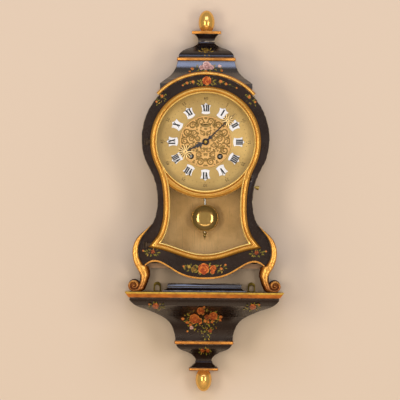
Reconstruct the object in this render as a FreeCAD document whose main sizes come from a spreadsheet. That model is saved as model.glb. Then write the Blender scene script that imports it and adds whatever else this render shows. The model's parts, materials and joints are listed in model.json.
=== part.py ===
import FreeCAD, Part
import math
import os
import re
from types import SimpleNamespace

import Sketcher

V = FreeCAD.Vector
Placement = FreeCAD.Placement
Rotation = FreeCAD.Rotation

# Driving sizes in mm: heights are above the shelf top, depths are distances from the wall
sizes = {
    # Clearances
    "fit": 0.05,
    "snug": 0.02,
    "wall_clear": 0.1,
    "gap": 0.3,
    # Bracket shelf and its gilt moulding
    "hook_rise": 10.5,
    "shelf_half": 134.0,
    "shelf_depth": 165.0,
    "shelf_thick": 9.2,
    "shelf_undercut": 7.0,
    "shelf_lip": 9.0,
    # Axis of both finials, and the bracket's tiers
    "finial_axis": 31.0,
    "bracket_top_half": 125.6,
    "bracket_waist_half": 48.5,
    "bracket_drop": 73.8,
    "strip_thick": 5.6,
    "strip_proud": 1.2,
    "lower_bell_drop": 40.4,
    "lower_neck_half": 13.6,
    "end_plate_half": 24.7,
    "end_plate_thick": 4.6,
    "egg_radius": 13.7,
    "egg_point": 20.5,
    "egg_round": 19.0,
    "egg_seat_angle": 52.0,
    "tenon_radius": 3.0,
    "tenon_length": 3.5,
    "tenon_lap": 1.0,
    "bell_setback": 1.1,
    # Moulded plinth on the shelf
    "plinth_half": 70.4,
    "plinth_top_half": 61.8,
    "plinth_back": 24.0,
    "plinth_front": 112.0,
    "plinth_step": 4.0,
    "plinth_cove": 7.0,
    "plinth_nose": 1.0,
    "plinth_slab": 3.0,
    # Hanging eyes
    "eye_offset": 80.0,
    "eye_width": 12.4,
    "eye_thick": 2.0,
    "eye_hole": 7.6,
    "eye_slot_low": 1.0,
    "eye_crown": 5.4,
    "eye_tail": 21.0,
    "eye_screw_radius": 1.4,
    "eye_screw_length": 13.0,
    "eye_head_radius": 2.8,
    "eye_head_thick": 0.8,
    "eye_screw_pitch": 10.0,
    "eye_screw_drop": 5.0,
    # Case
    "case_back_depth": 6.0,
    "case_board": 8.0,
    "case_front_depth": 104.0,
    "front_board": 11.0,
    "head_radius": 107.8,
    "head_height": 258.0,
    "head_leave": 232.0,
    "shoulder_half": 91.5,
    "shoulder_height": 202.6,
    "waist_half": 80.0,
    "waist_height": 150.0,
    "flare_half": 88.0,
    "flare_height": 116.0,
    "bulge_half": 121.5,
    "bulge_height": 66.0,
    "case_base": 40.0,
    "case_base_half": 114.6,
    "bottom_half": 98.0,
    "gilt_edge": 9.4,
    # Apron and feet
    "apron_low": 21.4,
    "apron_side_half": 42.5,
    "apron_side_height": 30.0,
    "apron_crest_half": 86.0,
    "apron_crest_height": 50.0,
    "apron_end_half": 102.5,
    "apron_bead": 3.4,
    "apron_bead_proud": 3.0,
    "apron_bead_setback": 0.5,
    "ankle_in": 99.6,
    "ankle_out": 109.8,
    "ankle_height": 29.0,
    "volute_half": 118.5,
    "volute_height": 10.3,
    "volute_radius": 10.2,
    "volute_join_angle": 31.5,
    "leg_root_in": 2.0,
    "leg_root_rise": 8.0,
    "sole_in": 106.0,
    "foot_proud": 11.0,
    "back_foot_depth": 22.0,
    # Hood
    "arch_thick": 5.6,
    "arch_span": 95.0,
    "arch_proud": 3.5,
    "head_clear": 0.1,
    "hood_half": 77.9,
    "hood_skirt": 333.0,
    "hood_shoulder": 351.0,
    "hood_top_half": 48.3,
    "hood_top": 390.0,
    "hood_bell_half": 46.8,
    "hood_bell_tall": 40.7,
    "hood_neck_half": 13.6,
    "hood_cap_under": 21.0,
    # Door
    "door_radius": 93.5,
    "dial_height": 253.0,
    "door_leave": 222.0,
    "door_shoulder_half": 79.0,
    "door_shoulder_height": 201.0,
    "door_waist_half": 70.2,
    "door_waist_height": 150.0,
    "door_tip_half": 95.4,
    "door_tip_height": 75.0,
    "door_side_half": 42.5,
    "door_side_height": 61.0,
    "door_low": 52.7,
    "dial_aperture": 82.0,
    "window_top_half": 59.0,
    "window_top_height": 176.6,
    "window_bar_low": 157.4,
    "window_half": 58.0,
    "window_height": 146.0,
    "window_tip_half": 74.5,
    "window_tip_height": 85.0,
    "window_low": 64.4,
    "door_base_thick": 4.7,
    "door_step_thick": 3.0,
    "door_bead_thick": 3.5,
    "door_step": 3.2,
    "glass_inset": 6.0,
    "glass_thick": 2.0,
    "glass_recess": 0.7,
    "glass_clear": 0.2,
    "board_hole_inset": 8.0,
    # Hinges and latch
    "hinge_offset": 98.5,
    "hinge_proud": 3.0,
    "hinge_upper": 252.6,
    "hinge_lower": 78.5,
    "hinge_pin_radius": 1.25,
    "hinge_knuckle_radius": 2.6,
    "hinge_lug_tall": 6.0,
    "hinge_ear_tall": 2.0,
    "hinge_plate_thick": 1.0,
    "hinge_plate_reach": 5.0,
    "hinge_lug_lap": 3.0,
    "hinge_lug_half": 1.6,
    "latch_height": 178.0,
    "latch_setback": 14.0,
    "latch_tilt": 18.0,
    "latch_spindle_radius": 2.0,
    "latch_knob_radius": 3.4,
    "latch_knob_length": 5.0,
    "latch_stem": 3.0,
    "latch_arm_depth": 12.0,
    "latch_arm_length": 12.0,
    "latch_arm_width": 3.0,
    "latch_arm_thick": 2.0,
    "catch_thick": 2.6,
    "catch_bite": 5.4,
    "catch_over": 1.0,
    "catch_inset": 2.2,
    "catch_bar": 3.6,
    "catch_room": 1.2,
    "catch_swing": 3.0,
    # Dial
    "dial_plate_radius": 88.0,
    "dial_plate_thick": 1.5,
    "dial_centre_radius": 43.6,
    "dial_centre_thick": 1.2,
    "plaque_ring": 56.0,
    "plaque_width": 17.5,
    "plaque_tall": 19.5,
    "plaque_thick": 1.6,
    "winding_offset": 24.4,
    "winding_drop": 24.5,
    "winding_hole": 3.9,
    "hour_hole_clear": 0.4,
    "window_sheet_thick": 1.0,
    "window_sheet_low": 52.0,
    "window_sheet_high": 180.0,
    "window_sheet_inset": 9.0,
    # Hands
    "minute_angle": 45.8,
    "hour_angle": 243.8,
    "hand_thick": 1.0,
    "minute_hand_lift": 5.0,
    "hour_hand_lift": 2.4,
    "minute_hand_length": 69.5,
    "minute_star_ring": 51.3,
    "minute_star_radius": 8.25,
    "hour_hand_length": 52.0,
    "hour_star_ring": 38.0,
    "hour_star_radius": 12.5,
    "hand_hub_radius": 5.8,
    "hand_shaft_width": 2.4,
    "hand_nut_radius": 3.4,
    "hand_nut_tall": 2.6,
    "cannon_proud": 0.8,
    # Movement frame
    "plate_reach": 23.6,
    "plate_low": 203.0,
    "plate_tall": 102.0,
    "plate_thick": 2.5,
    "back_plate_depth": 50.0,
    "front_plate_depth": 88.0,
    "pillar_radius": 4.0,
    "pillar_foot_radius": 2.5,
    "pillar_inset": 6.0,
    "pivot_recess": 0.2,
    # Wheels
    "arbor_radius": 1.0,
    "pivot_radius": 0.6,
    "centre_arbor_radius": 1.2,
    "cannon_radius": 2.0,
    "hour_pipe_radius": 3.2,
    "minute_arbor_radius": 0.8,
    "motion_distance": 12.0,
    "motion_clear": 0.7,
    "cannon_leaf_tall": 3.2,
    "hour_wheel_clear": 0.6,
    "minute_wheel_lift": 0.4,
    "minute_pinion_lap": 2.2,
    "wheel_thick": 1.4,
    "great_wheel_thick": 2.5,
    "middle_wheel_lift": 5.5,
    "third_wheel_lift": 2.3,
    "centre_wheel_lift": 1.0,
    "pinion_overrun": 1.0,
    "third_pinion_overrun": 0.4,
    "winding_arbor_radius": 2.5,
    "winding_square": 4.0,
    "square_shoulder": 0.5,
    "square_proud": 0.6,
    "barrel_radius": 18.0,
    "barrel_back": 66.0,
    "barrel_front": 84.0,
    "barrel_wall": 1.5,
    "great_module": 0.5,
    "centre_module": 0.35,
    "third_module": 0.3,
    "escape_height": 285.0,
    "escape_radius": 9.0,
    "anchor_rise": 3.0,
    "anchor_web": 1.8,
    "pallet_clear": 0.8,
    "pallet_width": 1.8,
    "pallet_drop": 6.4,
    "anchor_overrun": 0.3,
    "crutch_standoff": 8.0,
    "crutch_thick": 1.5,
    "crutch_half": 1.6,
    "crutch_fork_tall": 3.0,
    "crutch_prong": 1.4,
    # Pendulum and strike
    "swing_height": 297.0,
    "pendulum_depth": 35.0,
    "rod_radius": 1.75,
    "rod_low": 97.0,
    "spring_low": 272.0,
    "chop_half": 3.0,
    "chop_drop": 4.0,
    "chop_tall": 7.0,
    "clasp_tall": 6.0,
    "ribbon_half": 0.3,
    "ribbon_half_depth": 2.0,
    "ribbon_lap": 1.0,
    "bob_height": 124.4,
    "bob_radius": 23.0,
    "bob_half_thick": 10.0,
    "nut_high": 100.6,
    "nut_low": 88.4,
    "nut_radius": 3.8,
    "nut_drop_tall": 7.0,
    "nut_tip_radius": 0.6,
    "nut_shoulder": 1.0,
    "cock_pin_radius": 1.2,
    "cock_half": 7.0,
    "cock_lift": 5.5,
    "cock_head_tall": 6.0,
    "cock_cheek_thick": 2.5,
    "cock_cheek_half": 4.0,
    "cock_cheek_drop": 3.5,
    "bell_height": 330.0,
    "bell_radius": 22.0,
    "bell_deep": 16.0,
    "bell_wall": 1.5,
    "stand_thick": 2.0,
    "stand_half": 4.0,
    "stand_lap": 3.0,
    "stand_over": 4.0,
    "stand_stud_radius": 2.0,
    "stand_stud_length": 7.0,
    "stand_nut_radius": 3.5,
    "stand_nut_tall": 2.2,
    "hammer_offset": 30.0,
    "hammer_height": 290.0,
    "hammer_setback": 5.0,
    "hammer_clear": 0.7,
    "hammer_head_radius": 3.2,
    "hammer_head_length": 8.0,
    "hammer_arm_half": 1.5,
    "hammer_arm_tail": 2.0,
    "hammer_arm_thick": 2.0,
}

doc = FreeCAD.newDocument("BracketClock")
sheet = doc.addObject("Spreadsheet::Sheet", "Sizes")
for row, (alias, value) in enumerate(sizes.items(), start=1):
    sheet.set(f"A{row}", alias)
    sheet.set(f"B{row}", str(value))
    sheet.setAlias(f"B{row}", alias)
doc.recompute()
s = SimpleNamespace(**{alias: float(sheet.get(alias)) for alias in sizes})

nodes = []


def keep(piece):
    nodes.append(piece)
    return piece


def bind(piece, prop, text):
    # Ties a property to a formula of sheet aliases
    def from_sheet(word):
        return "Sizes." + word.group() if word.group() in sizes else word.group()

    piece.setExpression(prop, re.sub(r"[a-z_]+", from_sheet, text))


def seat(piece, x, depth, height):
    bind(piece, "Placement.Base.x", x)
    bind(piece, "Placement.Base.y", f"-({depth})")
    bind(piece, "Placement.Base.z", f"{height} - hook_rise")


forward_turn = Rotation(V(1, 0, 0), 90)


def rod(name, radius, length, x, depth, height):
    # Round bar running forward from a depth
    bar = doc.addObject("Part::Cylinder", name)
    bind(bar, "Radius", radius)
    bind(bar, "Height", length)
    bar.Placement = Placement(V(), forward_turn)
    seat(bar, x, depth, height)
    return bar


def post(name, radius, length, x, depth, height):
    # Round bar standing up from a height
    bar = doc.addObject("Part::Cylinder", name)
    bind(bar, "Radius", radius)
    bind(bar, "Height", length)
    seat(bar, x, depth, height)
    return bar


def block(name, x, depth, height, width, thick, tall):
    # Box from its left, rear and lower edges
    box = doc.addObject("Part::Box", name)
    bind(box, "Length", width)
    bind(box, "Width", thick)
    bind(box, "Height", tall)
    seat(box, x, f"{depth} + {thick}", height)
    return box


def taper(name, low_half, high_half, back, low_front, high_front, height, tall):
    # Block whose sides and front slope from its lower to its upper edge, with a flat back
    wedge = doc.addObject("Part::Wedge", name)
    bind(wedge, "Xmin", f"-({low_half})")
    bind(wedge, "Xmax", low_half)
    bind(wedge, "X2min", f"-({high_half})")
    bind(wedge, "X2max", high_half)
    bind(wedge, "Ymin", "0")
    bind(wedge, "Ymax", tall)
    bind(wedge, "Zmin", "0")
    bind(wedge, "Z2min", "0")
    bind(wedge, "Zmax", f"{low_front} - {back}")
    bind(wedge, "Z2max", f"{high_front} - {back}")
    wedge.Placement = Placement(V(), forward_turn)
    seat(wedge, "0", back, height)
    return wedge


def fuse(name, pieces):
    whole = doc.addObject("Part::MultiFuse", name)
    whole.Shapes = pieces
    return whole


def cut(name, base, tools):
    tool = tools[0] if len(tools) == 1 else fuse(name + "_tools", tools)
    left = doc.addObject("Part::Cut", name)
    left.Base = base
    left.Tool = tool
    return left


def made(name, shape):
    # Piece whose outline no primitive gives; its shape is in heights above the shelf
    piece = doc.addObject("Part::Feature", name)
    piece.Shape = shape
    piece.Placement = Placement(V(0, 0, -s.hook_rise), Rotation()).multiply(shape.Placement)
    return keep(piece)


def at(x, height):
    return V(x, 0, height)


def curve(points, start=None, end=None):
    spline = Part.BSplineCurve()
    if start is None:
        spline.interpolate(Points=points)
    else:
        spline.interpolate(Points=points, InitialTangent=start, FinalTangent=end)
    return spline.toShape()


def face_of(edges):
    return Part.Face(Part.Wire(Part.__sortEdges__(edges)))


def both_sides(edges):
    return edges + [edge.mirror(V(), V(1, 0, 0)) for edge in edges]


def forward(face, back, front):
    plate = face.copy()
    plate.translate(V(0, -back, 0))
    return plate.extrude(V(0, back - front, 0))


def bar_forward(radius, x, height, back, front):
    return Part.makeCylinder(radius, front - back, V(x, -back, height), V(0, -1, 0))


def box_between(left, right, back, front, low, high):
    return Part.makeBox(right - left, front - back, high - low, V(left, -front, low))


def mirrored(shape):
    return shape.mirror(V(), V(1, 0, 0))


def origin_plane(body, role):
    for feature in body.Origin.OriginFeatures:
        if feature.Role == role:
            return feature
    raise RuntimeError("no plane " + role)


def size_constraint(sketch, kind, formula, *where):
    # A driving dimension of the sketch, tied to the sheet
    index = sketch.addConstraint(Sketcher.Constraint(kind, *where, 1.0))
    name = f"{kind.lower()}_{index}"
    sketch.renameConstraint(index, name)
    bind(sketch, "Constraints." + name, formula)


def hole(sketch, x, height, radius):
    circle = sketch.addGeometry(Part.Circle(V(x, height, 0), V(0, 0, 1), radius), False)
    sketch.addConstraint(Sketcher.Constraint("DistanceX", -1, 1, circle, 3, x))
    sketch.addConstraint(Sketcher.Constraint("DistanceY", -1, 1, circle, 3, height))
    sketch.addConstraint(Sketcher.Constraint("Radius", circle, radius))


def plate_body(name, width, tall, thick, round_plate, holes):
    # Flat plate padded forward from its lower left corner, pierced by holes measured from that corner
    body = doc.addObject("PartDesign::Body", name)
    sketch = body.newObject("Sketcher::SketchObject", name + "_outline")
    sketch.AttachmentSupport = [(origin_plane(body, "XZ_Plane"), "")]
    sketch.MapMode = "FlatFace"
    if round_plate:
        rim = sketch.addGeometry(Part.Circle(V(1, 1, 0), V(0, 0, 1), 1), False)
        size_constraint(sketch, "Radius", f"({width}) / 2", rim)
        size_constraint(sketch, "DistanceX", f"({width}) / 2", -1, 1, rim, 3)
        size_constraint(sketch, "DistanceY", f"({tall}) / 2", -1, 1, rim, 3)
    else:
        corners = [V(0, 0, 0), V(1, 0, 0), V(1, 1, 0), V(0, 1, 0)]
        for first in range(4):
            sketch.addGeometry(Part.LineSegment(corners[first], corners[(first + 1) % 4]), False)
        for first in range(4):
            sketch.addConstraint(Sketcher.Constraint("Coincident", first, 2, (first + 1) % 4, 1))
        sketch.addConstraint(Sketcher.Constraint("Coincident", 0, 1, -1, 1))
        sketch.addConstraint(Sketcher.Constraint("Horizontal", 0))
        sketch.addConstraint(Sketcher.Constraint("Horizontal", 2))
        sketch.addConstraint(Sketcher.Constraint("Vertical", 1))
        sketch.addConstraint(Sketcher.Constraint("Vertical", 3))
        size_constraint(sketch, "DistanceX", width, 0, 1, 0, 2)
        size_constraint(sketch, "DistanceY", tall, 1, 1, 1, 2)
    for x, height, radius in holes:
        hole(sketch, x, height, radius)
    pad = body.newObject("PartDesign::Pad", name + "_pad")
    pad.Profile = sketch
    bind(pad, "Length", thick)
    return body


def tier(runs, back):
    # Shaped block with the same profile to the front and both sides about the finial axis, and a flat back
    widest = max(half for run in runs for half, height in run)
    top = runs[0][0]
    low = runs[-1][-1]
    sides = []
    fronts = []
    for run in runs:
        side = [at(half, height) for half, height in run]
        front = [V(0, -s.finial_axis - half, height) for half, height in run]
        sides.append(Part.makeLine(*side) if len(run) == 2 else curve(side))
        fronts.append(Part.makeLine(*front) if len(run) == 2 else curve(front))
    caps = [Part.makeLine(at(-half, height), at(half, height)) for half, height in (top, low)]
    across = face_of(both_sides(sides) + caps).extrude(V(0, -s.finial_axis - widest, 0))
    rear = [V(0, -back, top[1]), V(0, -back, low[1])]
    fronts.append(Part.makeLine(rear[0], V(0, -s.finial_axis - top[0], top[1])))
    fronts.append(Part.makeLine(rear[1], V(0, -s.finial_axis - low[0], low[1])))
    fronts.append(Part.makeLine(*rear))
    along = face_of(fronts)
    along.translate(V(-widest, 0, 0))
    return across.common(along.extrude(V(2 * widest, 0, 0)))


def egg(name, height, upward):
    # Turned finial: a long pointed half on a short round half with a flat seat and a tenon
    turn = Rotation() if upward else Rotation(V(1, 0, 0), 180)
    sign = "+" if upward else "-"
    seat_rise = "egg_round * sin(egg_seat_angle)"
    halves = []
    for part_name, length, low_angle, high_angle in (
        ("_point", "egg_point", "0", "90"),
        ("_round", "egg_round", "-egg_seat_angle", "0"),
    ):
        half = doc.addObject("Part::Ellipsoid", name + part_name)
        bind(half, "Radius1", length)
        bind(half, "Radius2", "egg_radius")
        bind(half, "Radius3", "egg_radius")
        bind(half, "Angle1", low_angle)
        bind(half, "Angle2", high_angle)
        half.Placement = Placement(V(), turn)
        seat(half, "0", "finial_axis", f"{height} {sign} {seat_rise}")
        halves.append(half)
    tenon_low = f"{height} - tenon_length" if upward else f"{height} - tenon_lap"
    tenon = post(name + "_tenon", "tenon_radius", "tenon_length + tenon_lap", "0", "finial_axis", tenon_low)
    return keep(fuse(name, halves + [tenon]))


# Bracket shelf: a board with notches for the hanging eyes, edged by a gilt moulding
board_parts = ("-(shelf_half - shelf_lip)", "0", "-shelf_thick",
               "2 * (shelf_half - shelf_lip)", "shelf_depth - shelf_lip", "shelf_thick")
notches = []
for side, x in (("left", "-eye_offset"), ("right", "eye_offset")):
    notches.append(block(f"eye_notch_{side}", f"{x} - eye_width / 2 - gap", "0", "-shelf_thick",
                         "eye_width + 2 * gap", "eye_head_thick + eye_thick + 2 * gap", "shelf_thick"))
keep(cut("shelf_board", block("shelf_blank", *board_parts), notches))
edge_blank = taper("shelf_edge_blank", "shelf_half - shelf_undercut", "shelf_half", "0",
                   "shelf_depth - shelf_undercut", "shelf_depth", "-shelf_thick", "shelf_thick")
keep(cut("shelf_moulding", edge_blank, [block("shelf_core", *board_parts)]))

# Bracket body: an ogee that sweeps in from the shelf to its waist
body_top = -s.shelf_thick
body_low = body_top - s.bracket_drop
body_swing = s.bracket_top_half - s.bracket_waist_half


def ogee(shares):
    # Profile points from shares of the inward sweep and of the drop
    return [(s.bracket_waist_half + body_swing * wide, body_top - s.bracket_drop * down)
            for wide, down in shares]


upper_lip = (1.0, 0.06)
bracket_body = tier([
    ogee([(1.0, 0.0), upper_lip]),
    ogee([upper_lip, (0.93, 0.14), (0.6, 0.29), (0.36, 0.4), (0.18, 0.52), (0.03, 0.79), (0.0, 1.0)]),
], 0.0)
eye_low = -s.shelf_thick - s.eye_tail
eye_back = s.eye_head_thick + s.wall_clear
first_screw = -s.shelf_thick - s.eye_screw_drop
screw_heights = (first_screw, first_screw - s.eye_screw_pitch)
shank_bore = s.eye_screw_radius + s.snug
for x in (-s.eye_offset, s.eye_offset):
    half = s.eye_width / 2 + s.gap
    recess = box_between(x - half, x + half, 0, eye_back + s.eye_thick + s.wall_clear, eye_low - s.gap, 0)
    bracket_body = bracket_body.cut(recess)
    for height in screw_heights:
        shank_end = eye_back + s.eye_screw_length + s.gap
        bracket_body = bracket_body.cut(bar_forward(shank_bore, x, height, 0, shank_end))
made("bracket_body", bracket_body)

# Gilt strip, lower bell, end plate and drop finial below the bracket's waist
strip_low = body_low - s.strip_thick
keep(block("bracket_strip", "-(bracket_waist_half + strip_proud)", "0", f"{strip_low}",
           "2 * (bracket_waist_half + strip_proud)", "finial_axis + bracket_waist_half + strip_proud",
           "strip_thick"))
bell_half = s.bracket_waist_half - s.bell_setback
bell_span = bell_half - s.lower_neck_half
bell_low = strip_low - s.lower_bell_drop


def lower_bell(shares):
    return [(s.lower_neck_half + bell_span * wide, strip_low - s.lower_bell_drop * down)
            for wide, down in shares]


flare = (s.end_plate_half - s.lower_neck_half) / bell_span
made("bracket_bell", tier([
    lower_bell([(1.0, 0.0), (0.86, 0.17), (0.6, 0.28), (0.18, 0.45), (0.04, 0.59), (0.0, 0.7)]),
    lower_bell([(0.0, 0.7), (0.02, 0.72)]),
    lower_bell([(0.02, 0.72), (0.02, 0.78)]),
    lower_bell([(0.02, 0.78), (flare * 0.4, 0.88), (flare * 0.94, 1.0)]),
], 0.0))
end_low = bell_low - s.end_plate_thick
end_plate = block("end_plate_blank", "-end_plate_half", "0", f"{end_low}", "2 * end_plate_half",
                  "finial_axis + end_plate_half", "end_plate_thick")
keep(cut("bracket_plate", end_plate, [
    post("drop_socket", "tenon_radius + snug", "tenon_length + gap", "0", "finial_axis", f"{end_low}")]))
egg("drop_finial", f"({end_low})", False)

# Stepped plinth standing on the shelf
plinth_draw = "plinth_front - plinth_half + plinth_top_half"
keep(fuse("shelf_plinth", [
    block("plinth_base", "-plinth_half", "plinth_back", "0", "2 * plinth_half", "plinth_front - plinth_back",
          "plinth_step"),
    taper("plinth_slope", "plinth_half - plinth_nose", "plinth_top_half", "plinth_back",
          "plinth_front - plinth_nose", plinth_draw, "plinth_step", "plinth_cove"),
    block("plinth_top", "-plinth_top_half - plinth_nose", "plinth_back", "plinth_step + plinth_cove",
          "2 * (plinth_top_half + plinth_nose)", f"{plinth_draw} + plinth_nose - plinth_back", "plinth_slab"),
]))

# Hanging eyes let into the back of the bracket, each with two screws
eye_parts = []
eye_screws = []
for side, x in (("left", "-eye_offset"), ("right", "eye_offset")):
    depth = f"{eye_back}"
    crown_height = "hook_rise + eye_crown - eye_width / 2"
    strap = block(f"eye_strap_{side}", f"{x} - eye_width / 2", depth, "-shelf_thick - eye_tail",
                  "eye_width", "eye_thick", f"shelf_thick + eye_tail + {crown_height}")
    crown = rod(f"eye_crown_{side}", "eye_width / 2", "eye_thick", x, depth, crown_height)
    seat_round = rod(f"eye_seat_{side}", "eye_hole / 2", "eye_thick", x, depth, "hook_rise - eye_hole / 2")
    slot = block(f"eye_slot_{side}", f"{x} - eye_hole / 2", depth, "eye_slot_low", "eye_hole", "eye_thick",
                 "hook_rise - eye_hole / 2 - eye_slot_low")
    screw_holes = []
    for number, height in enumerate(screw_heights):
        which = f"{side}_{number}"
        level = f"{height}"
        screw_holes.append(rod(f"eye_screw_hole_{which}", f"{shank_bore}", "eye_thick", x, depth, level))
        shank = rod(f"eye_shank_{which}", "eye_screw_radius", "eye_screw_length", x, depth, level)
        head = rod(f"eye_head_{which}", "eye_head_radius", "eye_head_thick", x, "wall_clear", level)
        eye_screws += [shank, head]
    eye = cut(f"eye_{side}", fuse(f"eye_blank_{side}", [strap, crown]), [seat_round, slot] + screw_holes)
    eye_parts.append(eye)
keep(fuse("hanging_eyes", eye_parts))
keep(fuse("hanging_eye_screws", eye_screws))


# Case outline: a round head, a waist and a bulge above the feet
def head_arc(radius, centre, leave):
    # Right half of a round head from its crown to where it leaves the circle, and its direction there
    reach = math.sqrt(radius ** 2 - (centre - leave) ** 2)
    turn = math.pi / 2 + math.asin((centre - leave) / radius)
    middle = at(radius * math.sin(turn / 2), centre + radius * math.cos(turn / 2))
    arc = Part.Arc(at(0, centre + radius), middle, at(reach, leave)).toShape()
    return arc, at(reach, leave), V(math.cos(turn), 0, -math.sin(turn))


head_edge, head_end, head_direction = head_arc(s.head_radius, s.head_height, s.head_leave)
down = V(0, 0, -1)
flank = [head_end, at(s.shoulder_half, s.shoulder_height), at(s.waist_half, s.waist_height),
         at(s.flare_half, s.flare_height)]
bulge = at(s.bulge_half, s.bulge_height)
base_corner = at(s.case_base_half, s.case_base)
outer_edges = [
    head_edge,
    curve(flank + [bulge], head_direction, down),
    curve([bulge, base_corner], down, V(-0.4, 0, -1)),
    Part.makeLine(base_corner, at(0, s.case_base)),
]
outer_face = face_of(both_sides(outer_edges))
apron_points = [at(s.apron_end_half, s.case_base), at(s.apron_crest_half, s.apron_crest_height),
                at(s.apron_side_half, s.apron_side_height)]
apron_low = at(0, s.apron_low)
apron_line = apron_points + [apron_low] + [V(-p.x, 0, p.z) for p in reversed(apron_points)]
inner_bulge = at(s.bulge_half - s.gilt_edge, s.bulge_height)
board_flank = [
    curve(flank + [inner_bulge], head_direction, down),
    curve([inner_bulge, apron_points[0]], down, V(-0.5, 0, -1)),
]
board_face = face_of(both_sides([head_edge] + board_flank) + [curve(apron_line)])

# Door outline and its openings
door_arc, door_end, door_direction = head_arc(s.door_radius, s.dial_height, s.door_leave)
door_tip = at(s.door_tip_half, s.door_tip_height)
door_sweep = [door_tip, at(s.door_side_half, s.door_side_height), at(0, s.door_low)]
door_edges = [
    door_arc,
    curve([door_end, at(s.door_shoulder_half, s.door_shoulder_height),
           at(s.door_waist_half, s.door_waist_height), door_tip], door_direction, V(0.75, 0, -0.66)),
    curve(door_sweep, V(-1, 0, -0.1), V(-1, 0, 0)),
]
door_face = face_of(both_sides(door_edges))
aperture = Part.Face(Part.Wire(Part.makeCircle(s.dial_aperture, at(0, s.dial_height), V(0, 1, 0))))
window_corner = at(s.window_tip_half, s.window_tip_height)
window_top = at(s.window_top_half, s.window_top_height)
window_edges = [
    curve([window_top, at(s.window_half, s.window_height), window_corner],
          V(-0.25, 0, -1), V(0.75, 0, -0.66)),
    curve([window_corner, at(0, s.window_low)], V(-1, 0, -0.35), V(-1, 0, 0)),
]
bar_ends = [at(-s.window_top_half, s.window_top_height), at(0, s.window_bar_low), window_top]
bar_arc = Part.Arc(*bar_ends).toShape()
window_face = face_of(both_sides(window_edges) + [bar_arc])


def inset(face, distance):
    # Outline moved inwards, its long curves redrawn through a few points
    edges = []
    for edge in face.makeOffset2D(-distance, 2).OuterWire.Edges:
        if isinstance(edge.Curve, (Part.Line, Part.Circle)):
            edges.append(edge)
        else:
            edges.append(curve(edge.discretize(Number=10)))
    return face_of(edges)


def half_width(face, height):
    # Right-hand half width of an outline at a height
    level = Part.makeLine(at(0, height), at(2 * s.shelf_half, height))
    return face.common(level).BoundBox.XMax


front_face_depth = s.case_front_depth + s.front_board
foot_front = front_face_depth + s.foot_proud
hinge_depth = front_face_depth + s.hinge_proud
latch_depth = s.case_front_depth - s.latch_setback
minute_hand_depth = s.case_front_depth + s.minute_hand_lift
hour_hand_depth = s.case_front_depth + s.hour_hand_lift
door_back = front_face_depth + s.gap
board_hole = inset(door_face, s.board_hole_inset)

# Turn latch through the right flank, and the hook on the door that it holds
latch_normal = V(math.cos(math.radians(s.latch_tilt)), 0, -math.sin(math.radians(s.latch_tilt)))
latch_root = V(half_width(outer_face, s.latch_height), -latch_depth, s.latch_height)
latch_place = Placement(latch_root, Rotation(V(0, 1, 0), 90 + s.latch_tilt))
spindle_reach = s.latch_arm_depth + s.latch_arm_thick / 2
latch_knob = Part.makeCylinder(s.latch_spindle_radius, spindle_reach + s.latch_stem,
                               V(0, 0, -spindle_reach))
latch_knob = latch_knob.fuse([
    Part.makeCylinder(s.latch_knob_radius, s.latch_knob_length, V(0, 0, s.latch_stem)),
    Part.makeBox(s.latch_arm_width, s.latch_arm_length, s.latch_arm_thick,
                 V(-s.latch_arm_width / 2, -s.latch_arm_length, -spindle_reach)),
])
latch_knob.Placement = latch_place
arm_top = latch_root.z - latch_normal.z * s.latch_arm_depth + s.latch_arm_length
tooth_low = arm_top - s.catch_bite
hook_low = arm_top + s.catch_over
hook_high = hook_low + s.catch_bar
hook_outer = half_width(door_face, hook_low) - s.catch_inset
hook_inner = hook_outer - s.catch_thick
tooth_front = latch_depth - s.latch_arm_width / 2 - s.gap
tooth_back = tooth_front - s.catch_thick
catch_hook = box_between(hook_inner, hook_outer, tooth_back, door_back, hook_low, hook_high).fuse(
    box_between(hook_inner, hook_outer, tooth_back, tooth_front, tooth_low, hook_low))
catch_way = box_between(hook_inner - s.catch_room, hook_outer + s.catch_swing, s.case_front_depth,
                        front_face_depth, tooth_low - s.catch_room, hook_high + s.catch_room)

# Case boards
case_front = forward(board_face, s.case_front_depth, front_face_depth)
case_front = case_front.cut(forward(board_hole, s.case_front_depth, front_face_depth))
made("case_front", case_front.cut(catch_way))
shell_back = s.case_back_depth + s.case_board
inner_face = inset(outer_face, s.case_board)
shell = forward(outer_face, shell_back, s.case_front_depth)
shell = shell.cut(forward(inner_face, shell_back, s.case_front_depth))
bottom_zone = box_between(-s.bottom_half, s.bottom_half, shell_back, s.case_front_depth,
                          s.case_base, s.case_base + s.case_board)
made("case_bottom", shell.common(bottom_zone))
walls = shell.cut(bottom_zone)
tall_reach = s.head_height + 2 * s.head_radius
right_zone = box_between(0, 2 * s.head_radius, 0, s.case_front_depth, 0, tall_reach)
latch_hole = Part.makeCylinder(s.latch_spindle_radius + s.fit, 2 * spindle_reach, V(0, 0, -spindle_reach))
latch_hole.Placement = latch_place
made("case_side_right", walls.common(right_zone).cut(latch_hole))
made("case_side_left", walls.common(mirrored(right_zone)))
made("case_back", forward(outer_face, s.case_back_depth, shell_back))
made("latch_knob", latch_knob)
sheet_zone = box_between(-s.head_radius, s.head_radius, 0, s.case_front_depth,
                         s.window_sheet_low, s.window_sheet_high)
sheet_face = inset(outer_face, s.window_sheet_inset)
made("window_sheet", forward(sheet_face, shell_back, shell_back + s.window_sheet_thick).common(sheet_zone))

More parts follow.
